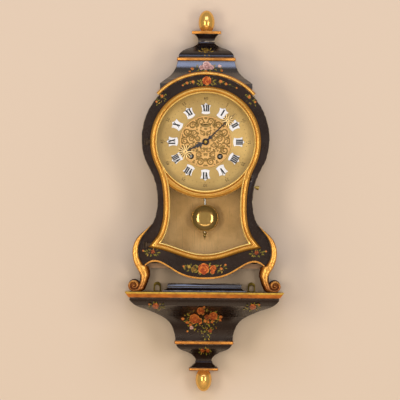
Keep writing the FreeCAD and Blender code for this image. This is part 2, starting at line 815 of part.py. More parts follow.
# Gilt scroll feet: a tapering edge along the bulge, an ankle and a volute
tip = at(s.flare_half, s.flare_height)
ankle_out = at(s.ankle_out, s.ankle_height)
ankle_in = at(s.ankle_in, s.ankle_height)
join_angle = math.radians(s.volute_join_angle)
volute_join = at(s.volute_half - s.volute_radius * math.cos(join_angle),
                 s.volute_height + s.volute_radius * math.sin(join_angle))
leg_root = at(s.ankle_in - s.leg_root_in, s.case_base + s.leg_root_rise)
leg_face = face_of([
    curve([tip, bulge], outer_edges[1].tangentAt(outer_edges[1].Curve.parameter(tip)), down),
    curve([bulge, base_corner, ankle_out, volute_join], down, V(0.15, 0, -1)),
    Part.makeLine(volute_join, at(s.volute_half, s.volute_height)),
    Part.makeLine(at(s.volute_half, s.volute_height), at(s.volute_half, 0)),
    Part.makeLine(at(s.volute_half, 0), at(s.sole_in, 0)),
    curve([at(s.sole_in, 0), ankle_in, leg_root], V(0, 0, 1), V(-0.3, 0, 1)),
    Part.makeLine(leg_root, tip),
])


def leg(back, front):
    # Right-hand leg between two depths
    shape = forward(leg_face, back, front)
    volute = bar_forward(s.volute_radius, s.volute_half, s.volute_height, back, front)
    return shape.fuse(volute).removeSplitter()


foot = leg(s.case_front_depth, foot_front)
for shift in (V(s.gap, 0, 0), V(0, 0, -s.gap)):
    board_room = board_face.copy()
    board_room.translate(shift)
    foot = foot.cut(forward(board_room, s.case_front_depth, foot_front))
foot = max(foot.Solids, key=lambda solid: solid.Volume)
foot = foot.cut(box_between(0, 2 * s.shelf_half, 0, foot_front, -s.volute_radius, s.gap))
made("foot_front_right", foot)
made("foot_front_left", mirrored(foot))
under_case = box_between(0, 2 * s.shelf_half, 0, s.case_front_depth, s.gap, s.case_base)
back_foot = leg(shell_back, shell_back + s.back_foot_depth).common(under_case)
made("back_feet", Part.makeCompound([back_foot, mirrored(back_foot)]))

# Gilt bead along the apron
bead_top = [p + V(0, 0, s.apron_bead) for p in apron_line]
bead_face = face_of([curve(apron_line), curve(bead_top), Part.makeLine(apron_line[0], bead_top[0]),
                     Part.makeLine(apron_line[-1], bead_top[-1])])
bead = forward(bead_face, front_face_depth, front_face_depth + s.apron_bead_proud)
bead_room = forward(inset(board_face, s.apron_bead_setback), front_face_depth, foot_front)
made("apron_moulding", bead.common(bead_room))

# Hood: lower cove cut to the round head, gilt strip, bell, cap plate and finial
hood_swing = s.hood_half - s.hood_top_half
hood_rise = s.hood_top - s.hood_shoulder


def hood_cove(shares):
    return [(s.hood_top_half + hood_swing * wide, s.hood_shoulder + hood_rise * up)
            for wide, up in shares]


hood_lower = tier([
    hood_cove([(0.0, 1.0), (0.115, 0.68), (0.315, 0.43), (0.6, 0.23), (0.87, 0.08), (1.0, 0.0)]),
    [(s.hood_half, s.hood_shoulder), (s.hood_half, s.hood_skirt)],
], s.case_back_depth)
head_seat = s.head_radius + s.head_clear
head_room = bar_forward(head_seat, 0, s.head_height, 0, s.shelf_depth)
made("hood_lower", hood_lower.cut(head_room))
strip_half = "(hood_top_half + strip_proud)"
keep(block("hood_strip", f"-{strip_half}", "case_back_depth", "hood_top", f"2 * {strip_half}",
           f"finial_axis + {strip_half} - case_back_depth", "strip_thick"))
upper_low = s.hood_top + s.strip_thick
bell_sweep = s.hood_bell_half - s.hood_neck_half


def hood_bell(shares):
    return [(s.hood_neck_half + bell_sweep * wide, upper_low + s.hood_bell_tall * up)
            for wide, up in shares]


cap_flare = (s.hood_cap_under - s.hood_neck_half) / bell_sweep
made("hood_bell", tier([
    hood_bell([(cap_flare, 1.0), (cap_flare * 0.3, 0.86), (0.0, 0.7)]),
    hood_bell([(0.0, 0.7), (0.03, 0.68)]),
    hood_bell([(0.03, 0.68), (0.03, 0.6)]),
    hood_bell([(0.03, 0.6), (0.24, 0.47), (0.68, 0.33), (0.93, 0.18), (1.0, 0.06)]),
    hood_bell([(1.0, 0.06), (1.0, 0.0)]),
], s.case_back_depth))
cap_low = upper_low + s.hood_bell_tall
cap = block("cap_blank", "-end_plate_half", "finial_axis - end_plate_half", f"{cap_low}",
            "2 * end_plate_half", "2 * end_plate_half", "end_plate_thick")
top_socket = post("top_socket", "tenon_radius + snug", "tenon_length + gap", "0", "finial_axis",
                  f"{cap_low} + end_plate_thick - tenon_length - gap")
keep(cut("hood_cap", cap, [top_socket]))
egg("top_finial", f"({cap_low} + end_plate_thick)", True)

# Gilt arch over the head, in front of the hood
arch_back = s.finial_axis + s.hood_half + s.gap
arch_reach = f"case_front_depth + front_board + arch_proud - {arch_back}"
arch_blank = rod("arch_blank", "head_radius + arch_thick", arch_reach, "0", f"{arch_back}", "head_height")
bind(arch_blank, "Angle", "arch_span")
arch_blank.Placement.Rotation = forward_turn.multiply(Rotation(V(0, 0, 1), 90 - s.arch_span / 2))
arch_bore = rod("arch_bore", f"{head_seat}", "shelf_depth", "0", "0", "head_height")
keep(cut("arch_moulding", arch_blank, [arch_bore]))

# Door: a stepped frame rising to its inner bead, glass in a rebate, hinge lugs and the catch hook
openings = [aperture, window_face]
levels = [door_back, door_back + s.door_base_thick]
levels += [levels[-1] + s.door_step_thick]
levels += [levels[-1] + s.door_bead_thick]
door_front = levels[-1]
frame = forward(door_face, levels[0], levels[1])
for number in (1, 2):
    step_face = inset(door_face, number * s.door_step)
    frame = frame.fuse(forward(step_face, levels[number], levels[number + 1]))
for opening in openings:
    frame = frame.cut(forward(opening, door_back, door_front))
glass_face = inset(door_face, s.glass_inset)
glass_back = door_back + s.glass_recess
glass_front = glass_back + s.glass_thick
frame = frame.cut(forward(glass_face, door_back, glass_front))
frame = frame.removeSplitter()
made("door_frame", frame)
made("door_glass", forward(inset(door_face, s.glass_inset + s.glass_clear), glass_back, glass_front))
lug_half = s.hinge_lug_tall / 2
lug_room = forward(door_face, door_back, door_front)
lug_room.translate(V(-s.fit, 0, 0))
fittings = [catch_hook]
brackets = []
for height in (s.hinge_upper, s.hinge_lower):
    pivot = V(-s.hinge_offset, -hinge_depth, height)
    edge = -half_width(door_face, height)
    knuckle = Part.makeCylinder(s.hinge_knuckle_radius, s.hinge_lug_tall, pivot - V(0, 0, lug_half))
    arm = box_between(-s.hinge_offset, edge + s.hinge_lug_lap, hinge_depth - s.hinge_lug_half,
                      hinge_depth + s.hinge_lug_half, height - lug_half, height + lug_half)
    eye_bore = Part.makeCylinder(s.hinge_pin_radius + s.fit, s.hinge_lug_tall, pivot - V(0, 0, lug_half))
    fittings.append(knuckle.fuse(arm).cut([lug_room, eye_bore]))
    ear_inner = lug_half + s.gap
    ear_outer = ear_inner + s.hinge_ear_tall
    plate_edge = -s.hinge_offset + s.hinge_knuckle_radius
    bracket = box_between(-s.hinge_offset - s.hinge_plate_reach, plate_edge, front_face_depth,
                          front_face_depth + s.hinge_plate_thick, height - ear_outer, height + ear_outer)
    for low in (height - ear_outer, height + ear_inner):
        ear = Part.makeCylinder(s.hinge_knuckle_radius, s.hinge_ear_tall, V(pivot.x, pivot.y, low))
        web = box_between(pivot.x - s.hinge_knuckle_radius, plate_edge, front_face_depth, hinge_depth,
                          low, low + s.hinge_ear_tall)
        bracket = bracket.fuse([ear, web])
    knuckle_room = Part.makeCylinder(s.hinge_knuckle_radius + s.gap, 2 * ear_inner,
                                     pivot - V(0, 0, ear_inner))
    bracket = bracket.cut(knuckle_room)
    pin = Part.makeCylinder(s.hinge_pin_radius, 2 * ear_outer, pivot - V(0, 0, ear_outer))
    brackets.append(bracket.fuse(pin).removeSplitter())
made("door_fittings", Part.makeCompound(fittings))
made("hinge_brackets", Part.makeCompound(brackets))

# Dial plate, chased centre and enamel plaques
hour_hole = s.hour_pipe_radius + s.hour_hole_clear
for name, radius, thick, depth in (
    ("dial_plate", "dial_plate_radius", "dial_plate_thick", "case_front_depth - dial_plate_thick"),
    ("dial_centre", "dial_centre_radius", "dial_centre_thick", "case_front_depth"),
):
    span = getattr(s, radius)
    holes = [(span + sign * s.winding_offset, span - s.winding_drop, s.winding_hole) for sign in (-1, 1)]
    holes.append((span, span, hour_hole))
    disc = plate_body(name, f"2 * {radius}", f"2 * {radius}", thick, True, holes)
    seat(disc, f"-{radius}", depth, f"dial_height - {radius}")
    keep(disc)


def plaque():
    # Shield with a peaked outer edge and drawn-in sides, upright at twelve
    wide = s.plaque_width / 2
    tall = s.plaque_tall / 2
    middle = s.dial_height + s.plaque_ring
    shoulder = at(wide, middle + 0.6 * tall)
    foot_corner = at(0.86 * wide, middle - 0.82 * tall)
    edges = both_sides([
        Part.Arc(at(0, middle + tall), at(0.5 * wide, middle + 0.66 * tall), shoulder).toShape(),
        Part.Arc(shoulder, at(0.74 * wide, middle - 0.15 * tall), foot_corner).toShape(),
    ])
    edges.append(Part.Arc(foot_corner, at(0, middle - tall), at(-foot_corner.x, foot_corner.z)).toShape())
    return forward(face_of(edges), s.case_front_depth, s.case_front_depth + s.plaque_thick)


def turned(shape, degrees):
    # Turned clockwise about the dial's centre, as seen from the front
    copy = shape.copy()
    copy.rotate(at(0, s.dial_height), V(0, 1, 0), degrees)
    return copy


one_plaque = plaque()
made("numeral_plaques", Part.makeCompound([turned(one_plaque, 30 * hour) for hour in range(12)]))


# Hands: tapering shafts with a star, at the time the clock shows
def star(ring, radius, rays):
    points = []
    for number in range(2 * rays + 1):
        reach = radius if number % 2 == 0 else 0.72 * radius
        angle = math.pi * number / rays
        points.append(at(reach * math.sin(angle), s.dial_height + ring + reach * math.cos(angle)))
    return Part.Face(Part.makePolygon(points))


def hand(length, ring, radius, rays, bore, depth):
    width = s.hand_shaft_width / 2
    base = s.dial_height
    shaft = Part.Face(Part.makePolygon([at(-width, base), at(width, base), at(0.3 * width, base + length),
                                        at(-0.3 * width, base + length), at(-width, base)]))
    front = depth + s.hand_thick
    shape = forward(shaft, depth, front).fuse([
        forward(star(ring, radius, rays), depth, front),
        bar_forward(s.hand_hub_radius, 0, base, depth, front),
    ])
    return shape.cut(bar_forward(bore, 0, base, depth, front)).removeSplitter()


made("minute_hand", turned(hand(s.minute_hand_length, s.minute_star_ring, s.minute_star_radius, 16,
                                s.cannon_radius + s.snug, minute_hand_depth), s.minute_angle))
made("hour_hand", turned(hand(s.hour_hand_length, s.hour_star_ring, s.hour_star_radius, 16,
                              s.hour_pipe_radius + s.snug, hour_hand_depth), s.hour_angle))
cannon_front = minute_hand_depth + s.hand_thick + s.cannon_proud
hand_nut = doc.addObject("Part::Ellipsoid", "hand_nut")
bind(hand_nut, "Radius1", "hand_nut_tall")
bind(hand_nut, "Radius2", "hand_nut_radius")
bind(hand_nut, "Radius3", "hand_nut_radius")
bind(hand_nut, "Angle1", "0")
hand_nut.Placement = Placement(V(), forward_turn)
seat(hand_nut, "0", f"{cannon_front}", "dial_height")
keep(hand_nut)


# Wheels: straight-flanked teeth with free play, on arbors that run in the plates
tooth_profile = ((-1.2, -0.24), (0.0, -0.165), (0.7, -0.09), (0.7, 0.09), (0.0, 0.165), (-1.2, 0.24))


def gear(teeth, module, tooth_angle, x, height, back, front, bore=0.0):
    # Tooth heights are in modules from the pitch circle, widths in shares of the pitch
    pitch = module * teeth / 2
    step = 2 * math.pi / teeth
    points = []
    for number in range(teeth):
        middle = math.radians(tooth_angle) + number * step
        for reach, share in tooth_profile:
            angle = middle + share * step
            radius = pitch + reach * module
            points.append(at(x + radius * math.cos(angle), height + radius * math.sin(angle)))
    points.append(points[0])
    solid = forward(Part.Face(Part.makePolygon(points)), back, front)
    if bore:
        solid = solid.cut(bar_forward(bore, x, height, back, front))
    return solid


window_count = 5


def crossed(wheel, x, height, radius, back, front):
    # Lightened by a ring of round windows
    ring = 0.58 * radius
    for number in range(window_count):
        angle = 2 * math.pi * number / window_count
        wheel = wheel.cut(bar_forward(0.25 * radius, x + ring * math.cos(angle),
                                      height + ring * math.sin(angle), back, front))
    return wheel


back_inside = s.back_plate_depth + s.plate_thick
front_outside = s.front_plate_depth + s.plate_thick
pivot_back = s.back_plate_depth + s.pivot_recess


def arbor(x, height):
    pivots = bar_forward(s.pivot_radius, x, height, pivot_back, front_outside - s.pivot_recess)
    shaft = bar_forward(s.arbor_radius, x, height, back_inside + s.gap, s.front_plate_depth - s.gap)
    return pivots.fuse(shaft)


def crossing(first, first_reach, second, second_reach, side):
    # Point at two given distances from two centres, on one side of their line
    line = second - first
    span = line.Length
    along = (first_reach ** 2 - second_reach ** 2 + span ** 2) / (2 * span)
    off = math.sqrt(first_reach ** 2 - along ** 2)
    ahead = line * (1 / span)
    return first + ahead * along + V(-ahead.z, 0, ahead.x) * off * side


def bearing(first, second):
    return math.degrees(math.atan2(second.z - first.z, second.x - first.x))


def gap_angle(first, second, teeth):
    # A pinion's tooth angle that puts a space on the line of centres
    return bearing(second, first) + 180 / teeth


centre = at(0, s.dial_height)
going = at(s.winding_offset, s.dial_height - s.winding_drop)
strike = at(-s.winding_offset, s.dial_height - s.winding_drop)
escape = at(0, s.escape_height)
barrel_teeth, barrel_pinion = 80, 10
middle_teeth, middle_pinion = 72, 12
fast_teeth, fast_pinion = 96, 8
middle = crossing(going, s.great_module * (barrel_teeth + barrel_pinion) / 2,
                  centre, s.great_module * (middle_teeth + middle_pinion) / 2, -1)
third = crossing(centre, s.centre_module * (fast_teeth + fast_pinion) / 2,
                 escape, s.third_module * (fast_teeth + fast_pinion) / 2, 1)
rim_front = s.barrel_back
rim_back = rim_front - s.great_wheel_thick
middle_back = back_inside + s.middle_wheel_lift
middle_front = middle_back + s.wheel_thick
third_back = back_inside + s.third_wheel_lift
third_front = third_back + s.wheel_thick
centre_front = s.front_plate_depth - s.centre_wheel_lift
centre_back = centre_front - s.wheel_thick


def barrel(place, tooth_angle):
    # Spring barrel with its toothed rim, free on the winding arbor
    bore = s.winding_arbor_radius + s.fit
    drum = bar_forward(s.barrel_radius, place.x, place.z, rim_front, s.barrel_front)
    hollow = bar_forward(s.barrel_radius - s.barrel_wall, place.x, place.z,
                         rim_front + s.barrel_wall, s.barrel_front - s.barrel_wall)
    drum = drum.cut([hollow, bar_forward(bore, place.x, place.z, rim_front, s.barrel_front)])
    rim = gear(barrel_teeth, s.great_module, tooth_angle, place.x, place.z, rim_back, rim_front, bore)
    return drum.fuse(rim)


def winding_arbor(place):
    half = s.winding_square / 2
    shoulder = front_outside + s.square_shoulder
    round_part = bar_forward(s.winding_arbor_radius, place.x, place.z, pivot_back, shoulder)
    square = box_between(place.x - half, place.x + half, shoulder, s.case_front_depth + s.square_proud,
                         place.z - half, place.z + half)
    return round_part.fuse(square)


made("going_barrel", barrel(going, bearing(going, middle)))
made("strike_barrel", barrel(strike, 0.0))
made("going_arbor", winding_arbor(going))
made("strike_arbor", winding_arbor(strike))
made("intermediate_wheel", arbor(middle.x, middle.z).fuse([
    gear(barrel_pinion, s.great_module, gap_angle(going, middle, barrel_pinion), middle.x, middle.z,
         rim_back - s.pinion_overrun, rim_front + s.pinion_overrun),
    crossed(gear(middle_teeth, s.great_module, bearing(middle, centre), middle.x, middle.z,
                 middle_back, middle_front), middle.x, middle.z, s.great_module * middle_teeth / 2,
            middle_back, middle_front),
]))
centre_arbor = arbor(0, centre.z).fuse(
    bar_forward(s.centre_arbor_radius, 0, centre.z, back_inside + s.gap, cannon_front - s.gap))
made("centre_wheel", centre_arbor.fuse([
    gear(middle_pinion, s.great_module, gap_angle(middle, centre, middle_pinion), 0, centre.z,
         middle_back - s.pinion_overrun, middle_front + s.pinion_overrun),
    crossed(gear(fast_teeth, s.centre_module, bearing(centre, third), 0, centre.z,
                 centre_back, centre_front), 0, centre.z, s.centre_module * fast_teeth / 2,
            centre_back, centre_front),
]))
made("third_wheel", arbor(third.x, third.z).fuse([
    gear(fast_pinion, s.centre_module, gap_angle(centre, third, fast_pinion), third.x, third.z,
         centre_back - s.pinion_overrun, centre_front + s.third_pinion_overrun),
    crossed(gear(fast_teeth, s.third_module, bearing(third, escape), third.x, third.z,
                 third_back, third_front), third.x, third.z, s.third_module * fast_teeth / 2,
            third_back, third_front),
]))
escape_teeth = 30
escape_points = []
for number in range(escape_teeth):
    angle = 2 * math.pi * number / escape_teeth
    for reach, share in ((0.8, 0.0), (1.0, 0.12), (0.8, 0.3)):
        turn = angle + share * 2 * math.pi / escape_teeth
        escape_points.append(at(reach * s.escape_radius * math.cos(turn),
                                escape.z + reach * s.escape_radius * math.sin(turn)))
escape_points.append(escape_points[0])
escape_back = (s.back_plate_depth + s.front_plate_depth) / 2
escape_front = escape_back + s.wheel_thick
made("escape_wheel", arbor(0, escape.z).fuse([
    forward(Part.Face(Part.makePolygon(escape_points)), escape_back, escape_front),
    gear(fast_pinion, s.third_module, gap_angle(third, escape, fast_pinion), 0, escape.z,
         third_back - s.pinion_overrun, third_front + s.pinion_overrun),
]))

# Motion work behind the dial: cannon pinion, minute wheel and hour wheel
cannon_teeth, minute_teeth, minute_pinion, hour_teeth = 12, 36, 10, 40
first_module = 2 * s.motion_distance / (cannon_teeth + minute_teeth)
second_module = 2 * s.motion_distance / (minute_pinion + hour_teeth)
motion = at(0, s.dial_height - s.motion_distance)
cannon_back = front_outside + s.motion_clear
cannon_step = cannon_back + s.cannon_leaf_tall
hour_back = cannon_step + s.hour_wheel_clear
minute_back = cannon_back + s.minute_wheel_lift
minute_front = minute_back + s.wheel_thick
minute_end = hour_back + s.minute_pinion_lap
cannon = gear(cannon_teeth, first_module, -90.0 + 180 / cannon_teeth, 0, centre.z, cannon_back, cannon_step)
cannon = cannon.fuse(bar_forward(s.cannon_radius, 0, centre.z, cannon_back, cannon_front))
made("cannon_pinion", cannon.cut(bar_forward(s.centre_arbor_radius + s.fit, 0, centre.z, 0, s.shelf_depth)))
minute_arbor = bar_forward(s.minute_arbor_radius, 0, motion.z, s.front_plate_depth + s.pivot_recess,
                           minute_end)
made("minute_wheel", minute_arbor.fuse([
    gear(minute_teeth, first_module, 90.0, 0, motion.z, minute_back, minute_front),
    gear(minute_pinion, second_module, 90.0 + 180 / minute_pinion, 0, motion.z, minute_front, minute_end),
]))
hour_wheel = gear(hour_teeth, second_module, -90.0, 0, centre.z, hour_back, hour_back + s.wheel_thick)
hour_wheel = hour_wheel.fuse(
    bar_forward(s.hour_pipe_radius, 0, centre.z, hour_back, hour_hand_depth + s.hand_thick))
made("hour_wheel", hour_wheel.cut(bar_forward(s.cannon_radius + s.fit, 0, centre.z, 0, s.shelf_depth)))

# Movement plates with a hole for every arbor, and pillars that also carry the dial
hammer = at(-s.hammer_offset, s.hammer_height)
swing = at(0, s.swing_height)
pivot_hole = s.pivot_radius + s.fit
winding_bore = s.winding_arbor_radius + s.fit
plate_half = s.winding_offset + s.plate_reach
pillar_x = plate_half - s.pillar_inset
pillar_heights = (s.plate_low + s.pillar_inset, s.plate_low + s.plate_tall - s.pillar_inset)
pillars = [at(sign * pillar_x, height) for sign in (-1, 1) for height in pillar_heights]
shared_holes = [(place, pivot_hole) for place in (middle, third, escape, swing, hammer)]
shared_holes += [(place, winding_bore) for place in (going, strike)]
front_holes = shared_holes + [(centre, s.centre_arbor_radius + s.fit),
                              (motion, s.minute_arbor_radius + s.fit)]
front_holes += [(place, s.pillar_foot_radius + s.snug) for place in pillars]
back_holes = shared_holes + [(centre, pivot_hole)]
for name, depth, holes in (("movement_back_plate", "back_plate_depth", back_holes),
                           ("movement_front_plate", "front_plate_depth", front_holes)):
    corner = [(place.x + plate_half, place.z - s.plate_low, radius) for place, radius in holes]
    plate = plate_body(name, "2 * (winding_offset + plate_reach)", "plate_tall", "plate_thick", False, corner)
    seat(plate, "-winding_offset - plate_reach", depth, "plate_low")
    keep(plate)
pillar_parts = []
for number, place in enumerate(pillars):
    pillar_parts.append(rod(f"pillar_{number}", "pillar_radius",
                            "front_plate_depth - back_plate_depth - plate_thick",
                            f"{place.x}", "back_plate_depth + plate_thick", f"{place.z}"))
    pillar_parts.append(rod(f"dial_foot_{number}", "pillar_foot_radius",
                            "case_front_depth - dial_plate_thick - front_plate_depth",
                            f"{place.x}", "front_plate_depth", f"{place.z}"))
keep(fuse("movement_pillars", pillar_parts))

# Anchor over the escape wheel, with a crutch that leads the pendulum rod
pallet_half = s.escape_radius + s.pallet_clear
pallet_low = swing.z - s.pallet_drop
pallet_outer = pallet_half + s.pallet_width
anchor_side = [at(pallet_outer, swing.z - s.anchor_web), at(pallet_outer, pallet_low),
               at(pallet_half, pallet_low), at(pallet_half, swing.z - s.anchor_rise)]
anchor_points = [at(0, swing.z + s.anchor_rise)] + anchor_side + [at(0, swing.z - s.anchor_web)]
anchor_points += [V(-p.x, 0, p.z) for p in reversed(anchor_side)] + [anchor_points[0]]
crutch_back = s.pendulum_depth + s.crutch_standoff
crutch_front = crutch_back + s.crutch_thick
crutch_low = s.dial_height
fork_high = crutch_low + s.crutch_fork_tall
prong_inner = s.rod_radius + s.gap
fork_half = prong_inner + s.crutch_prong
prong = box_between(prong_inner, fork_half, s.pendulum_depth - s.rod_radius, crutch_front,
                    crutch_low, fork_high)
made("anchor", arbor(0, swing.z).fuse([
    forward(Part.Face(Part.makePolygon(anchor_points)), escape_back - s.anchor_overrun,
            escape_front + s.anchor_overrun),
    bar_forward(s.pivot_radius, 0, swing.z, crutch_back, s.front_plate_depth),
    box_between(-s.crutch_half, s.crutch_half, crutch_back, crutch_front, fork_high, swing.z + s.crutch_half),
    box_between(-fork_half, fork_half, crutch_back, crutch_front, crutch_low, fork_high),
    prong,
    mirrored(prong),
]).removeSplitter())

# Suspension cock with its cross pin, spring, rod, bob and rating nut
pin_end = "(chop_half + gap + cock_cheek_thick)"
cheek_tall = "cock_cheek_drop + cock_lift + gap"
cheek_low = "swing_height - cock_cheek_drop"
keep(fuse("suspension_cock", [
    block("cock_head", "-cock_half", f"pendulum_depth - {pin_end}", "swing_height + cock_lift",
          "2 * cock_half", f"back_plate_depth - pendulum_depth + {pin_end}", "cock_head_tall"),
    block("cock_cheek_rear", "-cock_cheek_half", f"pendulum_depth - {pin_end}", cheek_low,
          "2 * cock_cheek_half", "cock_cheek_thick", cheek_tall),
    block("cock_cheek_front", "-cock_cheek_half", "pendulum_depth + chop_half + gap", cheek_low,
          "2 * cock_cheek_half", "cock_cheek_thick", cheek_tall),
    rod("cock_pin", "cock_pin_radius", f"2 * {pin_end}", "0", f"pendulum_depth - {pin_end}", "swing_height"),
]))
chops_back = "pendulum_depth - chop_half"
spring_blank = fuse("spring_blank", [
    block("spring_chops", "-chop_half", chops_back, "swing_height - chop_drop", "2 * chop_half",
          "2 * chop_half", "chop_tall"),
    block("spring_ribbon", "-ribbon_half", "pendulum_depth - ribbon_half_depth",
          "spring_low + clasp_tall - ribbon_lap", "2 * ribbon_half", "2 * ribbon_half_depth",
          "swing_height - chop_drop - spring_low - clasp_tall + 2 * ribbon_lap"),
    block("spring_clasp", "-chop_half", chops_back, "spring_low", "2 * chop_half", "2 * chop_half",
          "clasp_tall"),
])
spring_eye = rod("spring_eye", "cock_pin_radius + fit", "2 * chop_half", "0", chops_back, "swing_height")
keep(cut("suspension_spring", spring_blank, [spring_eye]))
keep(post("pendulum_rod", "rod_radius", "spring_low - rod_low", "0", "pendulum_depth", "rod_low"))
lens = doc.addObject("Part::Ellipsoid", "bob_lens")
bind(lens, "Radius1", "bob_half_thick")
bind(lens, "Radius2", "bob_radius")
bind(lens, "Radius3", "bob_radius")
lens.Placement = Placement(V(), forward_turn)
seat(lens, "0", "pendulum_depth", "bob_height")
bob_bore = post("bob_bore", "rod_radius + snug", "2 * bob_radius", "0", "pendulum_depth",
                "bob_height - bob_radius")
keep(cut("pendulum_bob", lens, [bob_bore]))
nut_head = post("nut_head", "nut_radius", "nut_high - nut_low - nut_drop_tall", "0", "pendulum_depth",
                "nut_low + nut_drop_tall")
nut_drop = doc.addObject("Part::Cone", "nut_drop")
bind(nut_drop, "Radius1", "nut_tip_radius")
bind(nut_drop, "Radius2", "nut_radius - nut_shoulder")
bind(nut_drop, "Height", "nut_drop_tall")
seat(nut_drop, "0", "pendulum_depth", "nut_low")
nut_thread = post("nut_thread", "rod_radius + fit", "nut_high - rod_low + gap", "0", "pendulum_depth",
                  "rod_low - gap")
keep(cut("rating_nut", fuse("nut_blank", [nut_head, nut_drop]), [nut_thread]))

# Bell on its stand above the movement, and the hammer that strikes it
stand_front = back_inside + s.stand_thick
bell_back = stand_front + s.gap
keep(fuse("bell_stand", [
    block("stand_strap", "-stand_half", f"{back_inside}", "swing_height + stand_lap", "2 * stand_half",
          "stand_thick", "bell_height + stand_over - swing_height - stand_lap"),
    rod("stand_stud", "stand_stud_radius", "stand_stud_length", "0", f"{stand_front}", "bell_height"),
    rod("stand_nut", "stand_nut_radius", "stand_nut_tall", "0", f"{bell_back} + bell_wall + gap",
        "bell_height"),
]))
bell_skins = []
for name, wall in (("bell_outside", "0"), ("bell_inside", "bell_wall")):
    skin = doc.addObject("Part::Ellipsoid", name)
    bind(skin, "Radius1", f"bell_deep - {wall}")
    bind(skin, "Radius2", f"bell_radius - {wall}")
    bind(skin, "Radius3", f"bell_radius - {wall}")
    bind(skin, "Angle1", "0")
    skin.Placement = Placement(V(), Rotation(V(1, 0, 0), -90))
    seat(skin, "0", f"{bell_back} + bell_deep", "bell_height")
    bell_skins.append(skin)
bell_hole = rod("bell_hole", "stand_stud_radius + fit", "bell_deep", "0", f"{bell_back}", "bell_height")
keep(cut("bell", bell_skins[0], [bell_skins[1], bell_hole]))
hammer_back = bell_back + s.bell_deep - s.hammer_setback
hammer_front = hammer_back + s.hammer_arm_thick
head_tip = -s.bell_radius - s.hammer_clear
head_end = head_tip - s.hammer_head_length
hammer_head = Part.makeCylinder(s.hammer_head_radius, s.hammer_head_length,
                                V(head_end, -(hammer_back + hammer_front) / 2, s.bell_height), V(1, 0, 0))
arm_top = (head_tip + head_end) / 2
tail = hammer.z - s.hammer_arm_tail
hammer_arm = Part.Face(Part.makePolygon([
    at(hammer.x - s.hammer_arm_half, tail), at(hammer.x + s.hammer_arm_half, tail),
    at(arm_top + s.hammer_arm_half, s.bell_height), at(arm_top - s.hammer_arm_half, s.bell_height),
    at(hammer.x - s.hammer_arm_half, tail)]))
made("hammer", arbor(hammer.x, hammer.z).fuse([
    forward(hammer_arm, hammer_back, hammer_front),
    hammer_head,
]))

doc.recompute()
for piece in doc.Objects:
    if "Invalid" in piece.State or "Error" in piece.State:
        raise RuntimeError(f"{piece.Label} failed: {piece.State}")
for piece in nodes:
    if piece.Shape.isNull() or not piece.Shape.isValid() or not piece.Shape.Solids:
        raise RuntimeError(f"{piece.Label} has no valid solid")
os.makedirs("parts", exist_ok=True)
for piece in nodes:
    piece.Shape.exportStep(f"parts/{piece.Label}.step")
print(len(nodes), "nodes written")
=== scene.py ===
import json
import math
import random

import bmesh
import bpy
from mathutils import Matrix, Vector


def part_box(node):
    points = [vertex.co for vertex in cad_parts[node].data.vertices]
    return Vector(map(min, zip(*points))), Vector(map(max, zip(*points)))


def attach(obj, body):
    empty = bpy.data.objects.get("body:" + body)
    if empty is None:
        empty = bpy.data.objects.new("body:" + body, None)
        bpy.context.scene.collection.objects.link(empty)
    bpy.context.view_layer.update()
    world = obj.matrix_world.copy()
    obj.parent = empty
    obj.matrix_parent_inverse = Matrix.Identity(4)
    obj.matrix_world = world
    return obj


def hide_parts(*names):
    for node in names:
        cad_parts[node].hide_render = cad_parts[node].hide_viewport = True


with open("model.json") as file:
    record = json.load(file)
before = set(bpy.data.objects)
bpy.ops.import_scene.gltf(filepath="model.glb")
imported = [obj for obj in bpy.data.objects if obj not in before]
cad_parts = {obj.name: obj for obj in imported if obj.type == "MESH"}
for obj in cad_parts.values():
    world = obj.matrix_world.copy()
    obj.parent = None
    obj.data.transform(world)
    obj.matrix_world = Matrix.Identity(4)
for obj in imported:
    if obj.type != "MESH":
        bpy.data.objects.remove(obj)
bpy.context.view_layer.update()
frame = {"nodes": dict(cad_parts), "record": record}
nodes = frame["nodes"]
for spare in list(bpy.data.materials):
    bpy.data.materials.remove(spare)
bpy.ops.object.select_all(action="DESELECT")
bpy.context.scene.view_settings.view_transform = "Standard"
print("frame loaded:", len(nodes), "nodes")

mm = 0.001
weld = 2e-6  # corners nearer than this many metres are one
hair = 0.004  # mm that a stroke or flat shape lies above the one under it
hookRise = 10.5  # the row's origin lies this far above the shelf top
frontDepth = 115.0  # lacquered front of the case, measured from the wall
finialAxis = 31.0
dialHeight = 253.0
dialFace = 104.0
chasedFace = 105.15


def spot(x, depth, height):
    return Vector((x * mm, -depth * mm, (height - hookRise) * mm))


# mesh helpers
def named(name):
    piece = bpy.context.object
    piece.name = name
    piece.data.name = name
    return piece


def placed(name, mesh):
    piece = bpy.data.objects.new(name, mesh)
    bpy.context.scene.collection.objects.link(piece)
    return piece


def painted(piece, *finishes):
    for finish in finishes:
        piece.data.materials.append(finish)
    return piece


def chosen(piece):
    bpy.ops.object.select_all(action="DESELECT")
    bpy.context.view_layer.objects.active = piece
    piece.select_set(True)


def openMesh(piece, kind="FACE"):
    # edit mode with everything chosen
    chosen(piece)
    bpy.ops.object.mode_set(mode="EDIT")
    bpy.ops.mesh.select_mode(type=kind)
    bpy.ops.mesh.select_all(action="SELECT")


def closeMesh():
    bpy.ops.object.mode_set(mode="OBJECT")


def pickEdges(piece, test):
    bpy.ops.mesh.select_mode(type="EDGE")
    bpy.ops.mesh.select_all(action="DESELECT")
    shape = bmesh.from_edit_mesh(piece.data)
    for edge in [edge for edge in shape.edges if test(edge)]:
        edge.select_set(True)
    bmesh.update_edit_mesh(piece.data)


def moveChosen(piece, place):
    shape = bmesh.from_edit_mesh(piece.data)
    for vertex in shape.verts:
        if vertex.select:
            vertex.co = place(vertex.co)
    bmesh.update_edit_mesh(piece.data)


